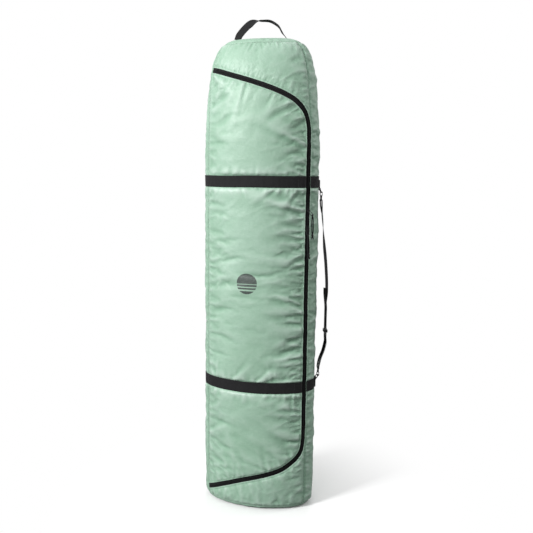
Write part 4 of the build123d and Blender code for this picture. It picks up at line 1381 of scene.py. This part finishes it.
BELT_ZIP_GAP = 0.0086
_zip_u = float(front_uv(ZIP_X, 0.8)[0])
BELT_FLAP_END, BELT_REAR_START = _zip_u - BELT_ZIP_GAP, _zip_u + BELT_ZIP_GAP
for name, z, seed in (("upper", BELTS[0], 1), ("lower", BELTS[1], 5)):
    front = [belt_band(z, -0.0035, BELT_FLAP_END, seed)]
    boxes = belt_box(z, BELT_FLAP_END - 0.028, BELT_FLAP_END - 0.003) + belt_box(z, 0.004, 0.020)
    register(join_parts(f"vis_{name}_belt_front", [M_WEB, M_THREAD_BLACK], {0: front, 1: boxes}),
             "flap")
    rear = [belt_band(z, BELT_REAR_START, PERIMETER - 0.0038, seed + 2)]
    boxes = (belt_box(z, BELT_REAR_START + 0.003, BELT_REAR_START + 0.020)
             + belt_box(z, PERIMETER - 0.022, PERIMETER - 0.007))
    register(join_parts(f"vis_{name}_belt_rear", [M_WEB, M_THREAD_BLACK], {0: rear, 1: boxes}),
             "shell")

# the upright plane on the +X side in which rings and strap lie
SIDE_ORIGIN = np.array([0.193038, 0.015, 0.0])
SIDE_OUT = np.array([0.9671, 0.2543, 0.0])
SIDE_ACROSS = np.array([0.2543, -0.9671, 0.0])
UP = np.array([0.0, 0, 1])


def side_point(out, z, across=0.0):
    return SIDE_ORIGIN + SIDE_OUT * out + UP * z + SIDE_ACROSS * across


def side_band(path, width, thick, cols, twist=None, wobble=0.0, gap=0.002):
    """Webbing along (outward, height) points; twist gives degrees of turn at a height.

    Returns the band, then its centres, width directions, normals and path."""
    path = resample(path, gap)
    slope = unit(np.gradient(path, axis=0))
    centres = np.array([side_point(a, b) for a, b in path])
    along = SIDE_OUT[None] * slope[:, :1] + UP[None] * slope[:, 1:]
    normals = unit(np.cross(along, SIDE_ACROSS))
    across = np.tile(SIDE_ACROSS, (len(path), 1))
    if twist is not None:
        across, normals = turn(across, normals, twist(path[:, 1]))
    if wobble:
        run = np.arange(len(path)) * gap
        centres = (centres + normals * (wobble * noise2(run / 0.06, 3, 5))[:, None]
                   + across * (wobble * noise2(run / 0.09, 9, 7))[:, None])
    band = sweep(centres, across, normals, web_section(width, thick, cols))
    return band, centres, across, normals, path


def ring_tab(name, z, d):
    """Tab looped through a D ring at height z; d is +1 with its legs up, -1 with them down."""
    bar_out, radius = 0.005, 0.00245
    arc = [(bar_out - radius * math.cos(a), z - d * radius * math.sin(a))
           for a in np.linspace(0.25, math.pi - 0.15, 11)]
    # outward, distance from the ring's bar
    inner_leg = ((0.0026, 0.0315), (0.0026, 0.016), (0.0026, 0.004))
    outer_leg = ((0.0070, 0.0022), (0.0052, 0.0048), (0.0040, 0.0080), (0.0039, 0.018),
                 (0.0039, 0.0312))
    path = ([(o, z + d * h) for o, h in inner_leg] + arc + [(o, z + d * h) for o, h in outer_leg])
    band = side_band(path, 0.0218, 0.0011, cols=13, gap=0.0012)[0]

    def sew(height, across, along, length=0.0022):
        return stitch(side_point(0.00475, z + d * height, across), along, SIDE_OUT, length)

    stitches = [sew(h, -0.0085 + 0.00285 * k, SIDE_ACROSS, 0.0021)
                for h in (0.0095, 0.0285) for k in range(7)]
    stitches += [sew(0.0110 + 0.0031 * k, s, UP) for s in (-0.0088, 0.0088) for k in range(6)]
    for s in (-1, 1):
        for k in range(6):
            f = (k + 0.5) / 6
            stitches.append(sew(0.0100 + 0.0180 * f, s * (-0.0084 + 0.0168 * f),
                                UP * d + SIDE_ACROSS * s * 0.93))
    register(join_parts(name, [M_WEB, M_THREAD_BLACK], {0: [band], 1: stitches}),
             "shell")


ring_tab("vis_upper_ring_tab", 1.113, 1)
ring_tab("vis_lower_ring_tab", 0.457, -1)

# ---------------------------------------------------------------- shoulder strap
# (outward, height) of the swivel eyes' bars, and of the runs of webbing between them
EYE_UPPER, EYE_LOWER = (0.010624, 1.076587), (0.013365, 0.491235)
STRAP_OUTER = [
    (0.0142, 1.0650), (0.0146, 1.0560), (0.0157, 1.034), (0.0186, 1.003), (0.0216, .962),
    (0.0256, .921), (0.0303, .880), (0.0339, .839), (0.0368, .791), (0.038, .740), (0.038, .700),
    (0.038, .650), (0.038, .604), (0.0366, .584), (0.0314, .560), (0.0242, .535), (0.0186, .509),
    (0.0165, .500)]
STRAP_INNER_LOW = [
    (0.0105, .4945), (0.0116, .505), (0.0138, .517), (0.0190, .537), (0.0264, .5625),
    (0.0316, .586), (0.0330, .604), (0.0330, .650), (0.0331, .700), (0.0333, .740),
    (0.0337, .775)]
STRAP_INNER_HIGH = [(0.0081, 1.0740), (0.0086, 1.0640), (0.0096, 1.0560), (0.0121, 1.0440),
                    (0.0139, 1.034)]


def strap_twist(z):
    """Degrees by which the strap turns on itself."""
    return (30 * smoothstep(z, 0.702, 0.765) * (1 - smoothstep(z, 0.90, 1.02))
            - 14 * smoothstep(z, 0.520, 0.56) * (1 - smoothstep(z, 0.58, 0.608)))


def eye_loop(eye, down, radius=0.0026):
    """Webbing round the bar of a swivel eye, from the inner side to the outer."""
    return [(eye[0] - radius * math.cos(a), eye[1] + down * radius * math.sin(a))
            for a in np.linspace(-0.05, math.pi + 0.05, 15)]


def shoulder_strap():
    """Outer run from eye to eye, with the shorter inner runs behind it."""
    size = dict(width=0.0250, thick=0.0014, cols=17)
    outer = catmull([(0.0080, 1.0725)] + eye_loop(EYE_UPPER, 1) + [(0.0138, 1.0725)]
                    + STRAP_OUTER + [(0.0161, .4955)] + eye_loop(EYE_LOWER, -1)[::-1]
                    + [(0.0107, .4960)], 4)
    band, centres, across, normals, path = side_band(outer, twist=strap_twist, wobble=0.0004,
                                                     **size)
    bands = [band,
             side_band(catmull(STRAP_INNER_LOW, 8), twist=lambda z: strap_twist(z) * 0.9,
                       wobble=0.0003, **size)[0],
             side_band(catmull(STRAP_INNER_HIGH, 8), twist=strap_twist, **size)[0]]
    stitches = []
    half_row = 0.0085
    on_outer = path[:, 0] > 0.0125
    for z in (1.046, 1.034, 0.7705, 0.760):
        k = int(np.argmin(np.abs(path[:, 1] - z) + (path[:, 0] < 0.0125) * 1.0))
        face = normals[k] if normals[k] @ SIDE_OUT > 0 else -normals[k]
        for j in range(7):
            place = centres[k] + across[k] * (-half_row + 2 * half_row * j / 6) + face * 0.00098
            stitches.append(stitch(place, across[k], face, 0.0021))
    # pale strips along both edges of the strap near its ends: a painted highlight on the black
    # webbing
    highlight_strips = []
    for z0, z1 in ((0.985, 1.050), (0.512, 0.582)):
        k = (path[:, 1] > z0) & (path[:, 1] < z1) & on_outer
        for side in (-1, 1):
            highlight_strips.append(sweep(centres[k] + across[k] * (side * 0.0116), across[k], normals[k],
                               web_section(0.0021, 0.0019, 5, 0.00006)))
    obj = join_parts("vis_shoulder_strap", [M_STRAP, M_THREAD_BLACK, M_STRAP_EDGE_HIGHLIGHT],
                     {0: bands, 2: highlight_strips, 1: stitches})
    register(obj, "strap")


shoulder_strap()

# ---------------------------------------------------------------- haul handle
# x, z in mm
HANDLE_POINTS = np.array([
    (-88, 1601.6), (-86.5, 1605.0), (-75, 1623), (-49, 1648.0), (-23, 1658.6), (22, 1659.2),
    (50, 1642.5), (65, 1622), (77, 1605.5), (79, 1601.6)]) / 1000.0


def haul_handle():
    """A loop of webbing, narrower at its feet, its left leg turned to the front."""
    path = resample(catmull(HANDLE_POINTS, 14), 0.0022)
    slope = unit(np.gradient(path, axis=0))
    count = len(path)
    centres = np.stack([path[:, 0], np.zeros(count), path[:, 1]], 1)
    along = np.stack([slope[:, 0], np.zeros(count), slope[:, 1]], 1)
    across = np.tile([0.0, 1.0, 0.0], (count, 1))
    s = np.linspace(0, 1, count)
    degrees = (80 * (1 - smoothstep(s, 0.30, 0.50))
               - 12 * smoothstep(s, 0.50, 0.70) * (1 - smoothstep(s, 0.86, 0.97)))
    across, normals = turn(across, np.cross(along, across), degrees)
    height = path[:, 1]
    scale = np.where(s < 0.5, 0.86 + 0.14 * smoothstep(height, 1.603, 1.612),
                     0.13 + 0.87 * smoothstep(height, 1.6050, 1.6225))
    centres = centres + normals * (0.0008 * noise2(s * 9, 2, 3))[:, None]
    band = sweep(centres, across, normals, web_section(0.0250, 0.0019), scale)
    # rows of stitches along both edges and faces of the grip
    stitches = []
    for k in range(4, count - 4, 2):
        if height[k] > 1.6535:
            for face in (-1, 1):
                for edge in (-0.0098, 0.0098):
                    place = centres[k] + across[k] * edge + normals[k] * face * 0.00118
                    stitches.append(stitch(place, along[k], normals[k] * face, 0.0028))
    register(join_parts("vis_haul_handle", [M_WEB, M_THREAD_BLACK], {0: [band], 1: stitches}),
             "handle")


def handle_anchors():
    """Square patches under the handle's feet, sewn round and across."""
    patches, stitches = [], []
    for x in (-0.0774, 0.072):
        xs = np.linspace(x - 0.0118, x + 0.0118, 14)
        centres = np.stack([xs, 0 * xs, 1.60085 + 0.0002 * np.cos((xs - x) * 400)], 1)
        patches.append(sweep(centres, np.tile([0.0, 1, 0], (14, 1)), np.tile(UP, (14, 1)),
                             web_section(0.0236, 0.0012, 13)))
        for k in range(7):
            t = -0.0085 + 0.00283 * k
            # offset from the patch's centre, and direction
            marks = []
            for edge in (-0.0092, 0.0092):
                marks += [(t, edge, (1.0, 0, 0)), (edge, t, (0, 1.0, 0))]
            marks += [(t, t, (1.0, 1.0, 0)), (t, -t, (1.0, -1.0, 0))]
            for dx, dy, along in marks:
                place = np.array([x + dx, dy, 1.60165])
                stitches.append(stitch(place, np.array(along), UP, 0.0021))
    register(join_parts("vis_handle_anchors", [M_WEB, M_THREAD_BLACK],
                        {0: patches, 1: stitches}), "shell")


def back_seam_binding():
    """Binding over the raw edges of the back seams, inside."""
    parts = []
    for line in (SEAM_BACK_RIGHT, SEAM_BACK_LEFT):
        q = resample(between(line, 0.03, 1.572), 0.005)
        p = surface(q[:, 0], q[:, 1])
        n = tangents(q[:, 0], q[:, 1])[2]
        across = np.cross(n, unit(np.gradient(p, axis=0)))
        wander = across * (0.0006 * noise2(q[:, 1] / 0.03, 0, 4))[:, None]
        parts.append(sweep(p - n * 0.0052 + wander, across, n,
                           web_section(0.010, 0.0011, 9, 0.0001)))
    register(join_parts("vis_back_seam_binding", [M_TAPE], {0: parts}), "shell")


haul_handle()
handle_anchors()
back_seam_binding()

# ---------------------------------------------------------------- pull cords
CORD_RADIUS = 0.00180
CORD_ACROSS = np.array([0.7271, 0.6866, 0.0])
# sideways, down and out from the pull's hole, in mm: down one strand and up the other
CORD_LOOP = (
    (0.4, 62.5, 0), (2.2, 56, 0), (2.9, 44, 0), (2.8, 30, 0), (2.6, 18, 0), (1.9, 8.0, 0),
    (1.25, 3.5, 1.4), (0.9, 0.4, 2.2), (0.3, -1.7, 1.6), (0.0, -2.35, 0.0), (-0.3, -1.7, -1.6),
    (-0.9, 0.4, -2.2), (-1.25, 3.5, -1.4), (-1.9, 8.0, 0), (-2.7, 18, 0), (-2.9, 30, 0),
    (-2.8, 44, 0), (-2.1, 56, 0), (-0.4, 62.5, 0))


def braid(points, radius, sides=12, gap=0.00045):
    """Braided cord: two sets of strands crossing round it."""
    p = resample(points, gap)
    run = np.arange(len(p))[:, None] * gap
    a = np.arange(sides)[None] / sides * TAU
    k = TAU / 0.0038
    strands = np.maximum(np.abs(np.sin(2 * a + k * run)), np.abs(np.sin(2 * a - k * run)))
    return tube_mesh(p, radius * (0.86 + 0.16 * strands), sides)


def pull_cord(name, hole, down, group):
    """Doubled cord hanging from a pull, with a knot and two free ends."""
    hole = np.array(hole)
    down = unit(np.array(down))
    out = unit(np.cross(CORD_ACROSS, down))

    def at(s, l, h=0.0):
        return hole + CORD_ACROSS * s * 0.001 + down * l * 0.001 + out * h * 0.001

    parts = [braid(catmull([at(*p) for p in CORD_LOOP]), CORD_RADIUS)]
    # the knot: the two strands wound round each other
    turns = np.linspace(0, TAU * 1.35, 40)
    for phase in (0.0, math.pi):
        knot = [at(2.05 * math.cos(t + phase), 62.8 + 5.2 * t / turns[-1] + 0.7 * math.sin(2 * t),
                   1.75 * math.sin(t + phase)) for t in turns]
        parts.append(braid(knot, CORD_RADIUS * 1.12))
    parts.append(braid([at(0.6, 61.5), at(0.0, 65), at(-0.5, 68.5)], CORD_RADIUS * 1.2))
    for k in (1, -1):
        tail = [at(1.0 * k, 66.5), at(1.9 * k, 70.5), at(2.6 * k, 74.5), at(3.3 * k, 78.0)]
        parts.append(braid(catmull(tail, 8), CORD_RADIUS))
        tip = [at(3.05 * k, 76.8), at(3.3 * k, 78.0), at(3.42 * k, 78.5)]
        parts.append(tube_mesh(tip, CORD_RADIUS * 0.98, 10))
    register(join_parts(name, [M_CORD], {0: parts}), group)


pull_cord("vis_upper_pull_cord", hole=(0.186761, -0.0628055, 1.0292401),
          down=(0.018, -0.019, -0.9997), group="cord_up")
pull_cord("vis_lower_pull_cord", hole=(0.17293, -0.0617643, 0.9629395),
          down=(0.0598, -0.0634, -0.9962), group="cord_low")

# ---------------------------------------------------------------- stitching on the cloth
ZIP_STITCH, SEAM_STITCH = 0.0142, 0.0052    # rows' distances from the zip and from a seam
rows = (stitch_row(zip_offset(-ZIP_STITCH))
        + stitch_row(between(SEAM_LEFT, 0.056, 1.488) + np.array([SEAM_STITCH, 0])))
register(join_parts("flap_topstitch", [M_THREAD], {0: rows}), "flap")

rows = stitch_row(zip_offset(ZIP_STITCH))
for line, sides in ((SEAM_LEFT + np.array([PERIMETER, 0]), (-1,)),
                    (SEAM_BACK_RIGHT, (-1, 1)), (SEAM_BACK_LEFT, (-1, 1)),
                    (between(SEAM_LEFT, low=1.512), (1,)),
                    (between(SEAM_RIGHT, low=1.275), (1,)),
                    (between(SEAM_RIGHT, high=0.280), (1,))):
    for side in sides:
        rows += stitch_row(line + np.array([side * SEAM_STITCH, 0]), 0.0040, 0.0029)
for v in (V_TOP - SEAM_STITCH, V_BASE + SEAM_STITCH):
    rim = np.stack([np.linspace(0, PERIMETER, 400), np.full(400, v)], 1)
    rows += stitch_row(rim, 0.0040, 0.0029)
register(join_parts("shell_topstitch", [M_THREAD], {0: rows}), "shell")

# ---------------------------------------------------------------- hard parts keep their CAD shape
for names, material, slot in (
        (("upper_d_ring", "lower_d_ring"), M_METAL, "painted_metal"),
        (("upper_hook_body", "lower_hook_body", "upper_swivel_eye", "lower_swivel_eye"),
         M_METAL, "painted_metal"),
        (("upper_hook_gate", "lower_hook_gate", "upper_hook_gate_pin", "lower_hook_gate_pin"),
         M_HARDWARE, "hardware"),
        (("upper_slider", "lower_slider", "upper_pull", "lower_pull", "zip_end_stops"),
         M_METAL, "painted_metal"),
        (("strap_slider",), M_PLASTIC, "black_plastic")):
    for name in names:
        obj = nodes[name]
        obj.data.materials.clear()
        obj.data.materials.append(material)
        obj.data.polygons.foreach_set("use_smooth", np.zeros(len(obj.data.polygons), bool))
        if "slider" in name or "hook" in name:
            bevel = obj.modifiers.new("edge", "BEVEL")
            bevel.width = 0.00025
            bevel.segments = 2
            bevel.limit_method = "ANGLE"
            bevel.angle_limit = math.radians(40)


# ---------------------------------------------------------------- floor, light, camera
def floor_material():
    """Grey to the light and near white to the camera, fading to plain white further out."""
    mat = Material("studio_floor", rough=0.6, spec=0.15)
    obj = mat.coord()
    x, y = mat.separate(obj)[:2]
    pale = mat.mix(mat.noise(obj, scale=1.5), (0.90, 0.90, 0.90, 1), (0.93, 0.93, 0.93, 1))
    mat.color(mat.mix(mat.add("LightPath").outputs["Is Camera Ray"], (0.13, 0.13, 0.13, 1), pale))
    mat.bump(mat.noise(obj, scale=60), strength=0.04, distance=0.001)
    radius = mat.math("SQRT", mat.math("ADD", mat.mul(x, x), mat.mul(y, y)))
    glow = mat.lerp(mat.add("LightPath").outputs["Is Camera Ray"], 0.12, 1.0)
    emission = mat.add("Emission", {0: (1, 1, 1, 1), 1: glow})
    # plain floor within 0.15 m of the middle, all white beyond 0.75 m
    fade = mat.add("MapRange", {0: radius, 1: 0.15, 2: 0.75}, interpolation_type="SMOOTHSTEP")
    mixed = mat.add("MixShader", {0: fade.outputs[0], 1: mat.shader.outputs[0],
                                  2: emission.outputs[0]})
    mat.link(mixed.outputs[0], mat.output.inputs[0])
    return mat.data


mesh = bpy.data.meshes.new("floor")
mesh.from_pydata([(-30, -30, 0), (30, -30, 0), (30, 30, 0), (-30, 30, 0)], [], [(0, 1, 2, 3)])
floor = bpy.data.objects.new("floor", mesh)
scene.collection.objects.link(floor)
floor.location.z = -0.0006
mesh.materials.append(floor_material())

world = bpy.data.worlds.new("studio")
scene.world = world
world.use_nodes = True
tree = world.node_tree
tree.nodes.clear()
lighting = add_node(tree, "Background", {0: (1, 1, 1, 1), 1: 0.60})
backdrop = add_node(tree, "Background", {0: (1, 1, 1, 1), 1: 1.0})
seen = add_node(tree, "LightPath").outputs["Is Camera Ray"]
mixed = add_node(tree, "MixShader", {0: seen, 1: lighting.outputs[0], 2: backdrop.outputs[0]})
add_node(tree, "OutputWorld", {0: mixed.outputs[0]})

# name, place, target, (width, height), watts
for name, place, target, size, power in (
        ("key_softbox", (-2.9, -3.1, 2.9), (0, 0, 0.95), (0.9, 0.9), 236),
        ("front_fill", (-0.4, -3.2, 1.7), (0, 0, 0.9), (1.4, 1.8), 12),
        ("rim_right", (2.2, 1.0, 1.9), (0, 0, 0.9), (0.6, 1.6), 12),
        ("back_soft", (-0.4, 3.2, 2.0), (0, 0, 0.9), (1.6, 1.6), 22),
        ("top_soft", (-0.2, 0.1, 3.2), (0, 0, 1.0), (1.2, 1.2), 2)):
    light = bpy.data.lights.new(name, "AREA")
    light.shape = "RECTANGLE"
    light.size, light.size_y = size
    light.energy = power
    lamp = bpy.data.objects.new(name, light)
    scene.collection.objects.link(lamp)
    lamp.location = place
    lamp.rotation_euler = (Vector(target) - Vector(place)).to_track_quat("-Z", "Y").to_euler()

CAMERA_PITCH, CAMERA_ROLL = 0.14345, 0.01158    # radians: down, and about the view axis
lens = bpy.data.cameras.new("camera")
lens.lens = 43.67
lens.sensor_width = 36.0
lens.sensor_fit = "AUTO"
lens.clip_end = 100
camera = bpy.data.objects.new("camera", lens)
scene.collection.objects.link(camera)
view = Vector((-0.2079 * math.cos(CAMERA_PITCH), 0.9781 * math.cos(CAMERA_PITCH),
               -math.sin(CAMERA_PITCH)))
camera.matrix_world = (Matrix.Translation((0.482, -2.168, 1.165))
                       @ view.to_track_quat("-Z", "Y").to_matrix().to_4x4()
                       @ Matrix.Rotation(CAMERA_ROLL, 4, "Z"))
scene.camera = camera
scene.view_settings.view_transform = "Standard"
scene.view_settings.look = "None"
